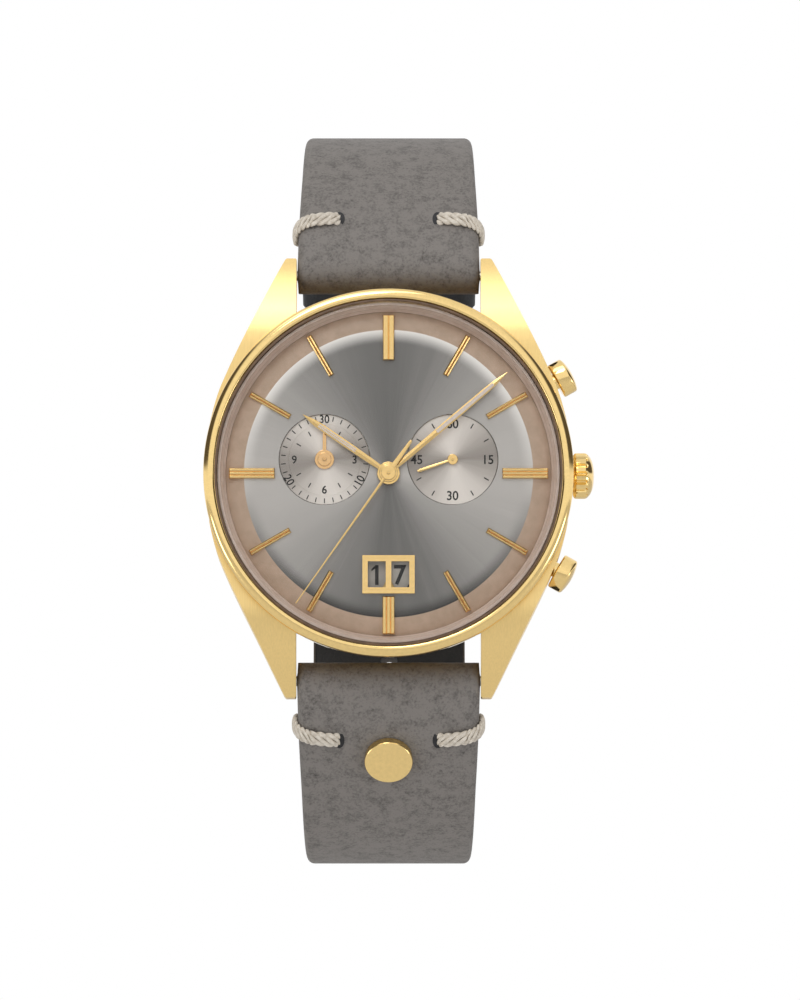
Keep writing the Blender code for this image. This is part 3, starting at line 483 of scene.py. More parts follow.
def build_case():
    shell = piece("case_shell", prism(case_plan(), 0.0, 7.2), satin, "case", ("case_middle",))
    side = loft([[(x, y, h) for y, h in case_side()] for x in (-22, 22)])
    cut(shell, "INTERSECT", "side", side)
    bore = [(0, -1), (18.95, -1), (18.95, 6), (19.45, 6), (19.45, 8.5), (0, 8.5)]
    cut(shell, "DIFFERENCE", "bore", lathe(bore, 160))
    for sign in (1, -1):
        drill(shell, "bar", 0.6, -11.4, 11.4, (0, 23.2 * sign, 2.3), 0)
        turn = sign * PUSH_ANGLE
        drill(shell, "tube", 1.24, 17, 23, (0, 0, STEM_H), turn, 40)
        drill(shell, "pocket", 2.28, 21.22, 26, (0, 0, STEM_H), turn, 48)
    drill(shell, "stem", 1.14, 17, 22, (0, 0, STEM_H), 0, 32)
    add_bevel(shell, 0.14, 3)

    ring = [(20.6, 7.23), (20.9, 7.32), (21.0, 7.6), (21.0, 8.55), (20.96, 8.8)]
    ring += [(20.84, 9.02), (20.62, 9.18)]
    ring += [(20.35, 9.28), (20.1, 9.31), (19.93, 9.28), (19.82, 9.2), (19.78, 9.08), (19.78, 8.6)]
    ring += [(19.45, 8.6), (19.45, 7.23)]
    piece("bezel_ring", lathe(ring, 256), polished, "case", ("bezel",), 50)

    dome = [(19.4, 8.63), (19.4, 9.28), (19.33, 9.4), (19.15, 9.5)]
    dome += [(19.0 * (1 - k / 12), 9.53 + 1.07 * (1 - (1 - k / 12) ** 2)) for k in range(13)]
    dome += [(18.4 * k / 10, 9.55 - 0.85 * (k / 10) ** 2) for k in range(11)]
    dome += [(18.6, 8.63)]
    piece("crystal_dome", lathe(dome, 160), crystal_look, "case", ("crystal",), 40)
    seal = [(19.44, 8.65), (19.74, 8.65), (19.74, 9.06), (19.66, 9.1), (19.52, 9.1), (19.44, 9.06)]
    piece("crystal_seal", lathe(seal, 160), seal_look, "case", ("crystal_gasket",))

    steps = [(18.5, 6.86), (19.38, 6.52), (19.38, 8.58), (19.1, 8.58), (19.04, 8.5), (19.0, 8.2)]
    steps += [(18.93, 8.14)]
    steps += [(18.86, 7.9), (18.8, 7.86), (18.7, 7.4), (18.64, 7.36), (18.58, 7.1), (18.5, 7.02)]
    piece("flange_ring", lathe(steps, 256), flange_look, "case", ("dial_flange",), 25)

    lid = [(0, 0), (15.55, 0), (15.75, 0.05), (16.2, 0.3), (17.9, 0.44), (18.1, 0.5)]
    lid += [(19.15, 0.78), (19.3, 0.9)]
    lid += [(19.3, 1.26), (18.38, 1.26), (18.38, 1.62), (0, 1.62)]
    back = piece("back_lid", lathe(lid, 192), steel, "case", ("case_back",), 30)
    keys = []
    for i in range(6):
        middle = TAU * i / 6
        corners = ((16.6, -0.055), (18.2, -0.05), (18.2, 0.05), (16.6, 0.055))
        plan = [(r * math.cos(middle + d), r * math.sin(middle + d)) for r, d in corners]
        keys.append(prism(plan, -0.2, 0.75))
    cut(back, "DIFFERENCE", "keys", together(keys))
    add_bevel(back, 0.05, 2)


def coil(mean_r, wire_r, z0, z1, turns, at, along):
    """A coil spring whose axis points along a direction in the dial plane."""
    per_turn, sides = 40, 12
    c, s = math.cos(along), math.sin(along)
    rings = []
    for i in range(turns * per_turn + 1):
        share = i / (turns * per_turn)
        angle = TAU * turns * share
        middle = z0 + wire_r + (z1 - z0 - 2 * wire_r) * share
        ring = []
        for k in range(sides):
            r = mean_r + wire_r * math.cos(TAU * k / sides)
            z = middle + wire_r * math.sin(TAU * k / sides)
            a, b = r * math.cos(angle), r * math.sin(angle)
            ring.append((at[0] + c * z - s * a, at[1] + s * z + c * a, at[2] + b))
        rings.append(ring)
    return loft(rings)


def build_controls():
    at = (0, 0, STEM_H)
    wall = [(20.95, 0.86, 0.3), (21.02, 0.92, 0.7), (21.1, 0.965, 1.0), (21.2, 0.995, 1.0), (21.4, 1.0, 1.0)]
    wall += [(22.25, 1.0, 1.0), (22.4, 0.99, 0.9), (22.5, 0.965, 0.5), (22.58, 0.94, 0.1), (22.66, 0.925, 0)]
    wall += [(22.9, 0.82, 0), (23.12, 0.66, 0), (23.26, 0.47, 0), (23.33, 0.28, 0), (23.36, 0.1, 0)]
    rings = []
    flutes, each = 16, 14
    for z, size, share in wall:
        section = []
        for i in range(flutes * each):
            angle = TAU * i / (flutes * each)
            valley = max(0.0, math.cos(flutes * angle)) ** 0.7
            r = 2.6 * size - 0.36 * share * valley
            section.append((z, r * math.cos(angle), STEM_H + r * math.sin(angle)))
        rings.append(section)
    piece("fluted_crown", loft(rings), polished, "crown", ("crown",), 42)
    tube = [(0.58, 17.8), (1.1, 17.8), (1.1, 21.95), (1.05, 22.0), (0.62, 22.0), (0.58, 21.95)]
    piece("crown_sleeve", lathe(tube, 48, at, 0), plain_steel, "case", ("crown_tube",))
    for sign, label in ((1, "start"), (-1, "reset")):
        turn = sign * PUSH_ANGLE
        cap = [(0, 16.4), (0.4, 16.4), (0.4, 19.9), (0.86, 19.9), (0.86, 21.9), (1.8, 21.9), (1.96, 21.93)]
        cap += [(2.03, 22.0), (2.05, 22.12), (2.05, 23.32), (2.02, 23.44), (1.93, 23.54), (1.75, 23.63)]
        cap += [(1.3, 23.76), (0.7, 23.86), (0, 23.9)]
        shape = lathe(cap, 96, at, turn)
        piece(label + "_button", shape, polished, label + "_button", (label + "_pusher",), 50)
        sleeve = [(0.45, 17.6), (1.2, 17.6), (1.2, 20.95), (1.14, 21.0), (1.14, 21.08)]
        sleeve += [(1.2, 21.12), (1.2, 21.2)]
        sleeve += [(1.15, 21.25), (0.95, 21.25), (0.9, 21.2), (0.9, 18.0), (0.45, 18.0)]
        shape = lathe(sleeve, 72, at, turn)
        piece(label + "_sleeve", shape, polished, "case", (label + "_pusher_tube",), 50)
        shape = coil(0.66, 0.1, SPRING_IN, SPRING_OUT, 4, at, turn)
        spring = piece(label + "_coil", shape, plain_steel, "case", (label + "_pusher_spring",), 60)
        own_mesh(spring)


# dial
SUB_X, SUB_Y = 7.27, 1.6
DATE_Y = -11.5


def at_angle(clockwise, r):
    return r * math.sin(clockwise), r * math.cos(clockwise)


ROOF = ((-0.48, -0.16), (-0.36, -0.06), (-0.08, 0), (0.08, 0), (0.36, -0.06), (0.48, -0.16))


def ridged_bar(half, low, high, r0, r1, bars, clockwise):
    """An applied marker made of parallel roofed bars, with chamfered ends."""
    width = 2 * half / bars
    section = [(-half, low)]
    for i in range(bars):
        middle = -half + width * (i + 0.5)
        for across, lift in ROOF:
            section.append((middle + across * width, high + lift))
    section.append((half, low))
    rings = []
    for r, drop in ((r0, 0.12), (r0 + 0.1, 0), (r1 - 0.1, 0), (r1, 0.12)):
        ring = []
        for across, h in section:
            x, y = at_angle(clockwise, r)
            h = max(low, h - drop) if h > low else low
            ring.append((x + across * math.cos(clockwise), y - across * math.sin(clockwise), h))
        rings.append(ring)
    return loft(rings)


def digits(text, size, x, y, h, turn, weight=0.0, squeeze=1.0):
    """Raised numerals as a mesh, centred, upright along a turned direction."""
    curve = bpy.data.curves.new("digits", "FONT")
    curve.body = text
    curve.size = size
    curve.align_x = "CENTER"
    curve.align_y = "CENTER"
    curve.offset = weight
    curve.extrude = 0.008
    curve.resolution_u = 6
    holder = bpy.data.objects.new("digits", curve)
    bpy.context.collection.objects.link(holder)
    bpy.context.view_layer.update()
    graph = bpy.context.evaluated_depsgraph_get()
    mesh = holder.evaluated_get(graph).to_mesh()
    xs = [v.co.x for v in mesh.vertices]
    ys = [v.co.y for v in mesh.vertices]
    mid_x, mid_y = (min(xs) + max(xs)) / 2, (min(ys) + max(ys)) / 2
    c, s = math.cos(turn), math.sin(turn)
    points = []
    for v in mesh.vertices:
        a, b = (v.co.x - mid_x) * squeeze, v.co.y - mid_y
        points.append((x + a * c + b * s, y - a * s + b * c, h + v.co.z))
    faces = [list(p.vertices) for p in mesh.polygons]
    holder.evaluated_get(graph).to_mesh_clear()
    bpy.data.objects.remove(holder)
    bpy.data.curves.remove(curve)
    return points, faces


def tick(cx, cy, clockwise, r0, r1, half, h):
    corners = []
    for r, across in ((r0, -half), (r0, half), (r1, half), (r1, -half)):
        x, y = at_angle(clockwise, r)
        corners.append((cx + x + across * math.cos(clockwise), cy + y - across * math.sin(clockwise)))
    return prism(corners, h - 0.01, h + 0.012)


def build_dial():
    rim = [(0, 6.75), (16.8, 6.75), (17.6, 6.5), (18.5, 6.16), (19.0, 6.04), (19.38, 6.04), (19.38, 6.42)]
    curve = [(19.0, 6.55), (18.5, 6.74), (18.0, 6.9), (17.5, 7.03), (17.0, 7.12)]
    curve += [(16.7, 7.165), (16.4, 7.19), (16.0, 7.2)]
    rim += curve + [(0, 7.2)]
    plate = piece("dial_plate", lathe(rim, 192), dial_look, "case", ("dial",), 25)
    for x in (-SUB_X, SUB_X):
        cut(plate, "DIFFERENCE", "counter", prism(circle(x, SUB_Y, 5.2, 128), 6, 8))
    cut(plate, "DIFFERENCE", "window", box(-2.45, 2.45, DATE_Y - 1.6, DATE_Y + 1.6, 6, 8))
    cut(plate, "DIFFERENCE", "centre", prism(circle(0, 0, 0.86, 32), 6, 8))
    plate.data.materials.append(rim_look)
    for face in plate.data.polygons:
        middle = face.center
        if math.hypot(middle.x, middle.z) > 16.35 * MM:
            face.material_index = 1
    for x, look, label, hole in ((-SUB_X, left_look, "left", 0.44), (SUB_X, right_look, "right", 0.26)):
        face = [(hole, 6.78), (5.12, 6.78), (5.12, 7.0), (hole, 7.0)]
        piece(label + "_counter_face", lathe(face, 128, (x, SUB_Y, 0)), look, "case")
        wall = [(5.08, 6.8), (5.19, 6.8), (5.19, 7.19), (5.17, 7.215), (5.13, 7.2), (5.1, 7.08), (5.08, 7.0)]
        piece(label + "_counter_wall", lathe(wall, 128, (x, SUB_Y, 0)), plain_steel, "case", (), 60)
    line = [(4.02, 6.99), (4.2, 6.99), (4.15, 7.02), (4.11, 7.03), (4.07, 7.02)]
    piece("counter_ring", lathe(line, 128, (-SUB_X, SUB_Y, 0)), left_look, "case", (), 60)

    prints = []
    for minute in range(30):
        if minute in (0, 10, 20):
            continue
        prints.append(tick(-SUB_X, SUB_Y, TAU * minute / 30, 4.42, 4.96, 0.055, 7.01))
    for minute, turn in ((0, 0), (10, math.radians(-60)), (20, math.radians(60))):
        x, y = at_angle(TAU * minute / 30, 4.62)
        text = "30" if minute == 0 else str(minute)
        prints.append(digits(text, 1.3, -SUB_X + x, SUB_Y + y, 7.012, turn, 0.022, 0.9))
    for hour in range(12):
        angle = TAU * hour / 12
        if hour in (3, 6, 9):
            x, y = at_angle(angle, 3.42)
            prints.append(digits(str(hour), 1.26, -SUB_X + x, SUB_Y + y, 7.012, 0, 0.024, 0.95))
        else:
            prints.append(tick(-SUB_X, SUB_Y, angle, 3.08, 3.66, 0.06, 7.01))
    piece("left_counter_print", together(prints), ink, "case", (), 20)
    prints = []
    for second in range(0, 60, 5):
        angle = TAU * second / 60
        if second % 15 == 0:
            x, y = at_angle(angle, 4.1)
            prints.append(digits(str(second or 60), 1.45, SUB_X + x, SUB_Y + y, 7.012, 0, 0.024, 0.95))
        else:
            prints.append(tick(SUB_X, SUB_Y, angle, 4.1, 4.72, 0.065, 7.01))
    piece("right_counter_print", together(prints), ink, "case", (), 20)

    for hour in (1, 2, 4, 5, 7, 8, 10, 11):
        shape = ridged_bar(0.34, 6.8, 7.55, 12.9, 18.1, 2, TAU * hour / 12)
        piece(f"hour_marker_{hour}", shape, hand_gold, "case", (), 20)
    wide = ((12, 0.665, 12.9, 18.1, 2), (3, 0.6, 12.9, 18.1, 3))
    wide += ((6, 0.7, 14.0, 18.3, 3), (9, 0.6, 12.9, 18.1, 3))
    for hour, half, r0, r1, count in wide:
        shape = ridged_bar(half, 6.9, 7.68, r0, r1, count, TAU * hour / 12)
        piece(f"hour_marker_{hour}", shape, hand_gold, "case", (f"marker_{hour}",), 20)

    shape = box(-2.965, 2.965, DATE_Y - 2.175, DATE_Y + 2.175, 7.16, 7.46)
    frame_piece = piece("date_window_frame", shape, hand_gold, "case", ("date_frame",))
    cut(frame_piece, "DIFFERENCE", "left", box(-2.35, -0.32, DATE_Y - 1.48, DATE_Y + 1.48, 6.9, 8))
    cut(frame_piece, "DIFFERENCE", "right", box(0.32, 2.35, DATE_Y - 1.48, DATE_Y + 1.48, 6.9, 8))
    for sign in (1, -1):
        ends = sorted((sign * 1.72, sign * 1.86))
        groove = box(-2.62, 2.62, DATE_Y + ends[0], DATE_Y + ends[1], 7.36, 8)
        cut(frame_piece, "DIFFERENCE", "long_groove", groove)
        ends = sorted((sign * 2.58, sign * 2.72))
        cut(frame_piece, "DIFFERENCE", "end_groove", box(*ends, DATE_Y - 1.86, DATE_Y + 1.86, 7.36, 8))
    add_bevel(frame_piece, 0.05, 2)

    for sign, label, low, shown, count in ((-1, "tens", 6.3, 1, 4), (1, "units", 6.5, 7, 10)):
        cx, cy = 5.2 * sign, -9.9
        shape = lathe([(0.5, low), (5.4, low), (5.4, low + 0.12), (0.5, low + 0.12)], 96, (cx, cy, 0))
        piece(f"{label}_date_disc", shape, disc_grey, f"date_{label}", (f"date_{label}_disc",))
        window = Vector((1.33 * sign - cx, DATE_Y - cy))
        start = math.atan2(window.y, window.x)
        marks = []
        for digit in range(count):
            turn = TAU * (digit - shown) / count
            x = cx + window.length * math.cos(start + turn)
            y = cy + window.length * math.sin(start + turn)
            marks.append(digits(str(digit), 3.1, x, y, low + 0.128, -turn, 0.07, 0.92))
            if digit == 1:
                flag = [(-0.62, 0.42), (-0.62, 0.7), (-0.1, 1.14), (0.12, 1.14), (0.0, 0.86)]
                c, s = math.cos(turn), math.sin(turn)
                flag = [(x + a * c - b * s, y + a * s + b * c) for a, b in flag]
                marks.append(prism(flag, low + 0.12, low + 0.136))
        piece(f"{label}_date_digits", together(marks), ink, f"date_{label}", (), 20)


# hands
def turned(shape, clockwise, at=(0, 0)):
    points, faces = shape
    c, s = math.cos(clockwise), math.sin(clockwise)
    return [(at[0] + x * c + y * s, at[1] - x * s + y * c, h) for x, y, h in points], faces


def roof_blade(line, low, edge, ridge):
    """A blade along +y from (half width, y) stations, roofed along its middle."""
    rings = []
    for half, y in line:
        top = edge + (ridge - edge) * min(1, half / 0.2)
        rings.append([(-half, y, low), (half, y, low), (half, y, edge), (0, y, top), (-half, y, edge)])
    return loft(rings)


def hub(r0, r1, low, high):
    r = min(0.07, (high - low) / 3)
    profile = [(r0, low), (r1 - r / 2, low), (r1, low + r / 2), (r1, high - r)]
    profile += [(r1 - 0.3 * r, high - 0.3 * r)]
    profile += [(r1 - r, high), (r0 + r, high), (r0, high - r / 2)] if r0 else [(r1 - r, high), (0, high)]
    return lathe(profile, 64)


HOUR = math.radians(304.5)
MINUTE = math.radians(49.6)
CHRONO = math.radians(215.2)
SMALL = math.radians(251.3)


def inlaid(stations, low, high):
    return loft([[(-w, y, low), (w, y, low), (w, y, high), (-w, y, high)] for w, y in stations])


def point_hand(name, shapes, clockwise, at, look, body, node_name):
    shape = turned(together(shapes), clockwise, at)
    piece(name, shape, look, body, (node_name,), 20)


def build_hands():
    centre = (0, 0)
    line = [(0.27, 1.0), (0.33, 2.4), (0.385, 6.0), (0.36, 9.6), (0.3, 10.4), (0.02, 11.8)]
    shapes = [roof_blade(line, 7.62, 7.68, 7.78), hub(0.83, 1.3, 7.62, 7.84)]
    point_hand("hour_pointer", shapes, HOUR, centre, hand_gold, "hours", "hour_hand")
    strip = inlaid(((0.2, 4.5), (0.21, 7), (0.2, 9.6)), 7.7, 7.77)
    piece("hour_inlay", turned(strip, HOUR), inlay, "hours", (), 20)
    line = [(0.25, 0.9), (0.3, 2.4), (0.36, 9.5), (0.33, 14.5), (0.28, 15.9), (0.02, 17.7)]
    shapes = [roof_blade(line, 7.9, 7.95, 8.03), hub(0.48, 1.05, 7.9, 8.1)]
    point_hand("minute_pointer", shapes, MINUTE, centre, hand_gold, "minutes", "minute_hand")
    strip = inlaid(((0.19, 7.2), (0.2, 11), (0.17, 15.6)), 7.96, 8.03)
    piece("minute_inlay", turned(strip, MINUTE), inlay, "minutes", (), 20)
    line = [(0.17, 0.5), (0.13, 3.0), (0.055, 18.2)]
    tail = [(0.3, -0.5), (0.27, -1.4), (0.17, -4.3), (0.1, -4.5)]
    pin = lathe([(0, 8.44), (0.26, 8.44), (0.24, 8.5), (0.12, 8.52), (0.1, 8.48), (0, 8.47)], 32)
    shapes = [roof_blade(line, 8.17, 8.22, 8.27), roof_blade(tail, 8.17, 8.22, 8.27)]
    shapes += [hub(0, 0.85, 8.16, 8.44), pin]
    point_hand("chrono_pointer", shapes, CHRONO, centre, hand_gold, "chrono_seconds", "chrono_seconds_hand")

    right, left = (SUB_X, SUB_Y), (-SUB_X, SUB_Y)
    pin = lathe([(0, 7.46), (0.2, 7.46), (0.17, 7.51), (0.08, 7.52), (0.06, 7.48), (0, 7.47)], 24)
    line = [(0.13, 0.4), (0.16, 2.0), (0.17, 3.9), (0.1, 4.2)]
    shapes = [roof_blade(line, 7.28, 7.33, 7.38), hub(0, 0.6, 7.28, 7.47), pin]
    point_hand("small_seconds_pointer", shapes, SMALL, right, hand_gold, "seconds", "small_seconds_hand")
    line = [(0.21, 0.9), (0.19, 2.95), (0.15, 3.1)]
    shapes = [roof_blade(line, 7.14, 7.18, 7.22), hub(0.2, 1.1, 7.14, 7.27)]
    point_hand("hour_counter_pointer", shapes, 0, left, hub_gold, "hour_counter", "hour_counter_hand")
    pin = lathe([(0, 7.5), (0.26, 7.5), (0.22, 7.56), (0.1, 7.58), (0.08, 7.54), (0, 7.53)], 24)
    line = [(0.2, 0.6), (0.16, 3.8), (0.12, 3.9)]
    shapes = [roof_blade(line, 7.32, 7.36, 7.4), hub(0, 0.78, 7.32, 7.51), pin]
    point_hand("minute_counter_pointer", shapes, 0, left, hub_gold, "minute_counter", "minute_counter_hand")


# strap
BAR_Y, BAR_H = 23.2, 2.3
START_SLOPE = math.radians(8)
FOLD_R, STRAP_T, LINING_T, LINING_START = 2.1, 2.6, 0.8, 2.3
UPPER = ((13.75, 25), (27.0, 57), (22.0, 90))
LOWER = ((13.75, 25), (27.0, 57), (36.0, 90))
TIP = 9.0


def centreline(arcs, s):
    u, h, slope = 0.0, 0.0, START_SLOPE
    for radius, turn in arcs:
        step = min(s, radius * math.radians(turn)) / radius
        u += radius * (math.sin(slope + step) - math.sin(slope))
        h += radius * (math.cos(slope + step) - math.cos(slope))
        slope += step
        s -= step * radius
        if s <= 1e-9:
            break
    return u + s * math.cos(slope), h - s * math.sin(slope), slope


def strap_place(arcs, sign, s, x, lift):
    u, h, slope = centreline(arcs, max(s, 0))
    if s < 0:
        u += s * math.cos(slope)
        h -= s * math.sin(slope)
    return x, sign * (BAR_Y + u + lift * math.sin(slope)), BAR_H + h + lift * math.cos(slope)


def half_width(s, total, pointed):
    s = max(s, 0)
    taper = ((0, 10.4), (6, 10.25), (14, 9.95), (33, 9.5), (60, 9.1), (200, 9.1))
    for (s0, w0), (s1, w1) in zip(taper, taper[1:]):
        if s0 <= s <= s1:
            width = w0 + (w1 - w0) * (s - s0) / (s1 - s0)
            break
    if pointed and s > total - TIP:
        width *= math.sqrt(max(0.04, 1 - ((s - total + TIP) / TIP) ** 2.4))
    return width


def thickness(s, total, buckled):
    t = 2 * FOLD_R + (STRAP_T - 2 * FOLD_R) * min(max(s, 0) / 13, 1)
    if buckled and s > total - 6:
        t = STRAP_T + 0.8 * (s - total + 6) / 6
    return t


def section(half, low, high, round_low):
    top = min(1.15, (high - low) * 0.48)
    foot = top if round_low else 0.1
    out = []
    for degrees in range(180, 271, 15):
        a = math.radians(degrees)
        out.append((-half + foot + foot * math.cos(a), low + foot + foot * math.sin(a)))
    out += [(x * half, low) for x in (-0.6, -0.2, 0.2, 0.6)]
    for degrees in range(270, 361, 15):
        a = math.radians(degrees)
        out.append((half - foot + foot * math.cos(a), low + foot + foot * math.sin(a)))
    for degrees in range(0, 91, 10):
        a = math.radians(degrees)
        out.append((half - top + top * math.cos(a), high - top + top * math.sin(a)))
    out += [(x * (half - top), high) for x in (0.75, 0.5, 0.25, 0, -0.25, -0.5, -0.75)]
    for degrees in range(90, 181, 10):
        a = math.radians(degrees)
        out.append((-half + top + top * math.cos(a), high - top + top * math.sin(a)))
    return out


def strap_total(arcs, straight):
    return sum(radius * math.radians(turn) for radius, turn in arcs) + straight


def build_half(name, arcs, straight, sign, buckled):
    body = name + "_half"
    total = strap_total(arcs, straight)
    rings = []

    def station(s, half, low, high, round_low):
        around = section(half, low, high, round_low)
        rings.append([strap_place(arcs, sign, s, x, lift) for x, lift in around])

    for degrees in range(80, 0, -8):
        a = math.radians(degrees)
        reach = FOLD_R * math.cos(a)
        station(-FOLD_R * math.sin(a), 10.4 - 0.12 * math.sin(a), -reach, reach, True)
    station(0, 10.4, -FOLD_R, FOLD_R, True)
    for s, inner in ((1.2, 0), (LINING_START - 0.12, 0), (LINING_START - 0.06, LINING_T + 0.04)):
        t = thickness(s, total, buckled)
        station(s, half_width(s, total, False), -t / 2 + inner, t / 2, inner == 0)
    end = total - 4.0 if buckled else total
    s = 3.2
    marks = []
    while s < end - (0.5 if buckled else TIP):
        marks.append(s)
        s += 1.0
    if buckled:
        marks += [end, end + 0.06, end + 1.5, end + 3.0]
    else:
        marks += [total - TIP * math.cos(math.radians(k)) for k in range(0, 91, 6)]
    for s in marks:
        t = thickness(s, total, buckled)
        lined = not buckled or s <= end
        inner = LINING_T + 0.04 if lined else 0
        station(s, half_width(s, total, not buckled), -t / 2 + inner, t / 2, not lined)
    if buckled:
        for degrees in range(0, 78, 11):
            a = math.radians(degrees)
            reach = 1.7 * math.cos(a)
            station(total + 1.7 * math.sin(a), half_width(total, total, False), -reach, reach, True)
    strap = piece(name + "_leather", loft(rings), leather, body, (name + "_strap",), 60)
    bar_at = (0, sign * BAR_Y, BAR_H)
    drill(strap, "bar", 0.95, -12, 12, bar_at, 0, 32)

    rings = []
    marks = [LINING_START] + [m for m in marks if m < end - 0.3]
    marks.append(end - 0.06 if buckled else total)
    for s in marks:
        t = thickness(s, total, buckled)
        half = half_width(s, total, not buckled) - 0.22
        low, high = -t / 2, -t / 2 + LINING_T
        edge = [(-half, high), (-half, low + 0.2), (-half + 0.2, low)]
        edge += [(half - 0.2, low), (half, low + 0.2), (half, high)]
        rings.append([strap_place(arcs, sign, s, x, lift) for x, lift in edge])
    lining = piece(name + "_liner", loft(rings), lining_look, body, (name + "_lining",), 40)
    for side, label in ((-1, "left"), (1, "right")):
        build_thread(name, label, arcs, sign, side, total, body)
    return strap, lining, total


def sweep(path, radius_a, radius_b, sides=10):
    """A tube along (point, across, out) stations."""
    rings = []
    for point, across, out in path:
        ring = []
        for k in range(sides):
            angle = TAU * k / sides
            turn = across * radius_a * math.cos(angle) + out * radius_b * math.sin(angle)
            ring.append(tuple(point + turn))
        rings.append(ring)
    return loft(rings)


def build_thread(name, label, arcs, sign, side, total, body):
    """Waxed thread: four plied strands from the hole, over the rounded edge and down it."""
    s0 = 6.2
    t, half = thickness(s0, total, False), half_width(s0, total, False)
    top, corner = t / 2, 1.15
    lift = 0.36
    base = [(5.55, top - 0.5, 0, 1), (5.75, top - 0.1, -0.6, 0.8), (6.1, top + 0.24, -0.3, 0.95)]
    base += [(6.7, top + lift, 0, 1)]
    base += [(x, top + lift + 0.03, 0, 1) for x in (7.4, 8.1, 8.8)]
    for degrees in range(90, -1, -15):
        a = math.radians(degrees)
        nx, nn = math.cos(a), math.sin(a)
        base.append((half - corner + (corner + lift) * nx, top - corner + (corner + lift) * nn, nx, nn))
    base += [(half + lift, top - corner - 0.6, 1, 0), (half + lift - 0.1, top - corner - 1.0, 1, 0)]
    line = smooth_line(base, 7)
    strands = []
    for k in range(4):
        path = []
        for i, (x, lifted, nx, nn) in enumerate(line):
            share = i / (len(line) - 1)
            phase = TAU * (k / 4 + 2.6 * share)
            slant = -1.5 * share ** 1.3
            along = slant + 0.5 * math.cos(phase)
            out = 0.17 * math.sin(phase)
            places = []
            for ahead, away in ((0, 0), (0.1, 0), (0, 0.1)):
                lifted_x = side * (x + (out + away) * nx)
                lifted_n = lifted + (out + away) * nn
                places.append(Vector(strap_place(arcs, sign, s0 + along + ahead, lifted_x, lifted_n)))
            centre, ahead, away = places
            path.append((centre, (ahead - centre).normalized(), (away - centre).normalized()))
        strands.append(sweep(path, 0.36, 0.24))
    piece(f"{name}_{label}_stitch", together(strands), thread_look, body, (f"{name}_{label}_thread",), 70)
    rings = []
    for lift_by, size in ((-0.02, 1.0), (0.04, 0.96)):
        ring = []
        for k in range(24):
            a = TAU * k / 24
            x, along = 5.62 + 0.62 * size * math.cos(a), 1.0 * size * math.sin(a)
            ring.append(strap_place(arcs, sign, s0 + along, side * x, top + lift_by))
        rings.append(ring)
    piece(f"{name}_{label}_stitch_hole", loft(rings), lining_look, body, (), 60)


def across_rod(arcs, sign, s, r, low, high, count):
    rings = []
    u, h, slope = centreline(arcs, s)
    for lift in (low, high):
        ring = []
        for x, step in circle(0, 0, r, count):
            y = sign * (BAR_Y + u + step * math.cos(slope) + lift * math.sin(slope))
            ring.append((x, y, BAR_H + h - step * math.sin(slope) + lift * math.cos(slope)))
        rings.append(ring)
    return loft(rings)


def keeper(name, look, body, stands_for, s, half_length, below, above, half_in):
    """A leather band round the strap with rounded edges."""
    wall = 0.9
    u, h, slope = centreline(UPPER, s)
    centre_lift, reach = (above - below) / 2, (above + below) / 2
    corner = 0.8
    loop = []
    for cx, cn, start in ((1, -1, 270), (1, 1, 0), (-1, 1, 90), (-1, -1, 180)):
        for k in range(0, 91, 15):
            a = math.radians(start + k)
            x0, n0 = cx * (half_in - corner), centre_lift + cn * (reach - corner)
            loop.append((x0, n0, math.cos(a), math.sin(a)))
    rounded = [(-1, 0.15), (-0.96, 0.7), (-0.85, 0.95), (0, 1.0), (0.85, 0.95)]
    rounded += [(0.96, 0.7), (1, 0.15), (1, 0.0), (-1, 0.0)]
    count = len(rounded)
    points, faces = [], []
    for x0, n0, cx, cn in loop:
        for along, out in rounded:
            grow = corner + wall * out
            x, lift = x0 + grow * cx, n0 + grow * cn
            step = half_length * along
            y = BAR_Y + u + step * math.cos(slope) + lift * math.sin(slope)
            points.append((x, y, BAR_H + h - step * math.sin(slope) + lift * math.cos(slope)))
    for i in range(len(loop)):
        j = (i + 1) % len(loop)
        for k in range(count):
            m = (k + 1) % count
            faces.append([i * count + k, i * count + m, j * count + m, j * count + k])
    piece(name, (points, faces), look, body, (stands_for,), 50)


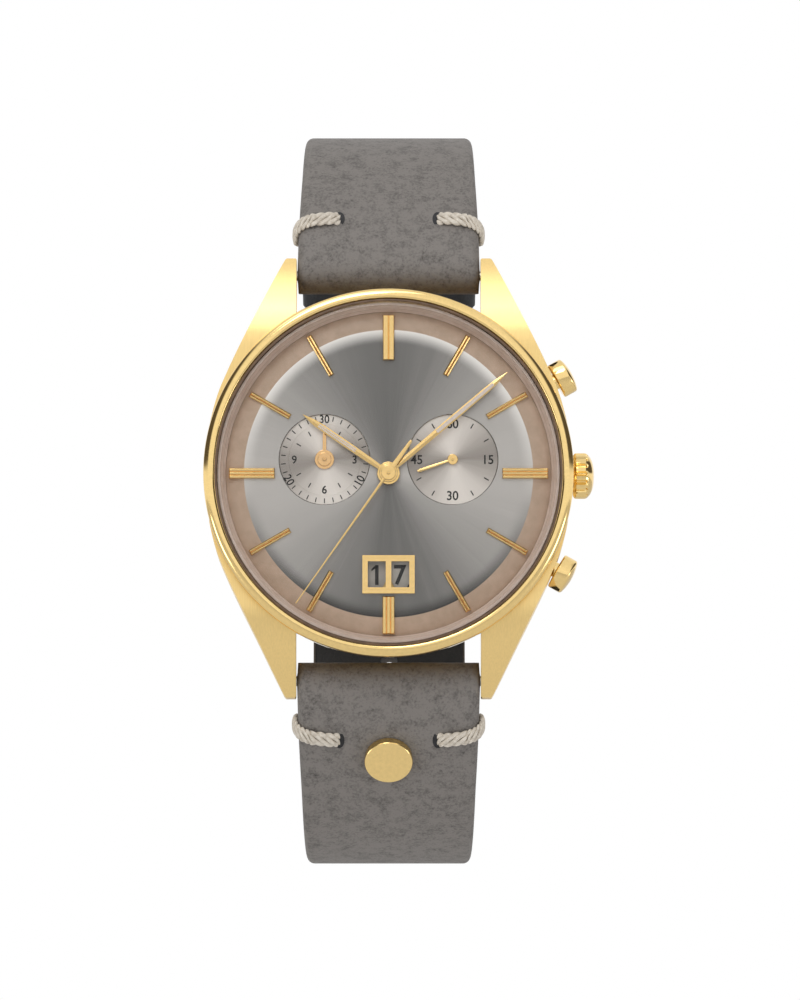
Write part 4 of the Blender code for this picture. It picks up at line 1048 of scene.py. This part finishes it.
def build_strap():
    strap, lining, total = build_half("upper", UPPER, 12.0, 1, True)
    u, h, _ = centreline(UPPER, total)
    y0, h0 = BAR_Y + u, BAR_H + h
    drill(strap, "hole", 0.7, -12, 12, (0, y0, h0), 0)
    cut(strap, "DIFFERENCE", "slot", box(-1.5, 1.5, y0 - 3, y0 + 2.4, h0 - 4, h0 + 4))
    keeper("fixed_loop", lining_look, "upper_half", "fixed_keeper", total - 8.6, 2.2, 1.36, 4.3, 9.25)
    keeper("sliding_loop", lining_look, "keeper", "free_keeper", total - 21.0, 2.4, 1.85, 4.2, 9.4)

    arm = [(1.3, -0.4), (1.3, 0.4), (0.8, 0.75), (-10.5, 0.75), (-12.7, 0.75)]
    arm += [(-13.1, 0.0), (-12.9, -1.0), (-10.5, -1.25), (0.8, -1.25)]
    rings = [[(x, y0 + y, h0 + n) for y, n in arm] for x in (-11.4, 11.4)]
    buckle = piece("buckle_loop", loft(rings), polished, "buckle", ("buckle_frame",), 35)
    cut(buckle, "DIFFERENCE", "window", box(-9.42, 9.42, y0 - 10.6, y0 + 3, h0 - 3, h0 + 3))
    drill(buckle, "bar", 0.63, -10.9, 10.9, (0, y0, h0), 0)
    add_bevel(buckle, 0.35, 4)
    line = [(0.0, -0.45), (-2.0, -0.95), (-5.5, -1.4), (-9.5, -1.78), (-12.2, -1.7), (-13.5, -1.25)]
    rings = []
    for y, n in smooth_line(line, 5):
        share = min(1, (y + 13.5) / 2.5)
        wide, thick = 0.45 + 0.38 * share, 0.25 + 0.17 * share
        oval = [(wide * x, y0 + y, h0 + n + thick * z) for x, z in circle(0, 0, 1, 16)]
        rings.append(oval)
    eye = [(0.66, -1.0), (1.2, -1.1), (1.3, -1.0), (1.3, 1.0), (1.2, 1.1), (0.66, 1.0)]
    eye = lathe(eye, 40, (0, y0, h0), 0)
    piece("buckle_prong", together([loft(rings), eye]), polished, "tongue", ("buckle_tongue",), 50)

    strap, lining, total = build_half("lower", LOWER, 25.0, -1, False)
    punches = together([across_rod(LOWER, -1, total - 18.0 - 6.2 * i, 1.0, -3, 3, 32) for i in range(7)])
    cut(strap, "DIFFERENCE", "punched", punches)
    cut(lining, "DIFFERENCE", "punched", punches)
    cut(strap, "DIFFERENCE", "stud", across_rod(LOWER, -1, 8.4, 0.95, 0, 4, 32))
    u, h, slope = centreline(LOWER, 8.4)
    lift = thickness(8.4, total, False) / 2
    disc = [(0, -1.2), (0.9, -1.2), (0.9, 0.12), (2.62, 0.12)]
    disc += [(2.74, 0.2), (2.75, 0.32), (2.75, 1.0), (2.72, 1.12)]
    disc += [(2.64, 1.2), (2.5, 1.24), (1.5, 1.27), (0, 1.28)]
    points, faces = lathe(disc, 96)
    axis_y, axis_h = -math.sin(slope), math.cos(slope)
    y0 = -(BAR_Y + u + lift * math.sin(slope))
    h0 = BAR_H + h + lift * math.cos(slope)
    tilted = [(x, y0 + y * axis_h + z * axis_y, h0 - y * axis_y + z * axis_h) for x, y, z in points]
    piece("round_stud", (tilted, faces), polished, "lower_half", ("strap_stud",), 40)


def dress_cad():
    """Materials for the CAD nodes that stay as they are."""
    looks = {
        "movement_ring": plastic, "case_back_gasket": rubber, "winding_stem": plain_steel,
        "start_pusher_spring": plain_steel, "reset_pusher_spring": plain_steel, "main_plate": brass,
        "train_bridge": plain_steel, "battery": plain_steel, "battery_clip": plain_steel,
        "circuit_board": board, "drive_coil": copper, "stepper_rotor": plain_steel,
        "seconds_wheel": brass, "third_wheel": brass, "center_wheel": brass, "hour_wheel": brass,
        "chrono_wheel": brass, "setting_lever": plain_steel, "buckle_bar": plain_steel,
        "upper_spring_bar": plain_steel, "lower_spring_bar": plain_steel,
    }
    for name, look in looks.items():
        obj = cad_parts[name]
        for slot in obj.material_slots:
            slot.link = "OBJECT"
            slot.material = look


# light and floor
def build_stage():
    world = bpy.data.worlds.new("studio")
    bpy.context.scene.world = world
    world.use_nodes = True
    tree = world.node_tree
    back = tree.nodes["Background"]
    place = node(tree, "ShaderNodeTexCoord")
    across, _, upward = parts_of(tree, place.outputs["Generated"])
    bands = ((0.0, 0.25), (0.35, 0.6), (0.46, 0.95), (0.62, 1.0), (1.0, 0.85))
    tone = ramp(tree, remap(tree, upward, -1, 1), bands)
    beside = remap(tree, op(tree, "ABSOLUTE", across), 0.55, 0.7)
    card = op(tree, "MULTIPLY", beside, remap(tree, upward, 0.11, 0.15))
    tone = mixed(tree, card, tone, (0.1, 0.09, 0.08, 1))
    lit = node(tree, "ShaderNodeLightPath")
    white = node(tree, "ShaderNodeBackground")
    white.inputs["Color"].default_value = (1, 1, 1, 1)
    mix = node(tree, "ShaderNodeMixShader")
    tree.links.new(tone, back.inputs["Color"])
    back.inputs["Strength"].default_value = 1.0
    tree.links.new(lit.outputs["Is Camera Ray"], mix.inputs["Fac"])
    tree.links.new(back.outputs["Background"], mix.inputs[1])
    tree.links.new(white.outputs["Background"], mix.inputs[2])
    tree.links.new(mix.outputs["Shader"], tree.nodes["World Output"].inputs["Surface"])

    for name, place_at, size, power in (
        ("top_softbox", (-0.15, -0.34, 0.62), (0.5, 0.25), 0.6),
        ("left_softbox", (-0.66, -0.3, -0.34), (0.3, 0.5), 1.6),
        ("right_softbox", (0.66, -0.3, -0.34), (0.3, 0.5), 1.6),
        ("front_softbox", (-0.2, -0.85, 0.75), (0.4, 0.3), 1.6),
    ):
        data = bpy.data.lights.new(name, "AREA")
        data.shape = "RECTANGLE"
        data.size, data.size_y = size
        data.energy = power
        lamp = bpy.data.objects.new(name, data)
        lamp.location = place_at
        direction = -Vector(place_at)
        lamp.rotation_mode = "QUATERNION"
        lamp.rotation_quaternion = direction.to_track_quat("-Z", "Y")
        bpy.context.collection.objects.link(lamp)

    floor_mesh = bpy.data.meshes.new("floor")
    reach, low = 6.0, -0.3
    corners = ((-reach, -reach), (reach, -reach), (reach, reach), (-reach, reach))
    floor_mesh.from_pydata([(x, y, low) for x, y in corners], [], [[0, 1, 2, 3]])
    floor = bpy.data.objects.new("floor", floor_mesh)
    bpy.context.collection.objects.link(floor)
    floor_mesh.materials.append(matt("pale_floor", (0.8, 0.8, 0.8), (0.84, 0.84, 0.84), 0.8, 3.0, 0.02))


build_case()
build_controls()
build_dial()
build_hands()
build_strap()
dress_cad()
build_stage()
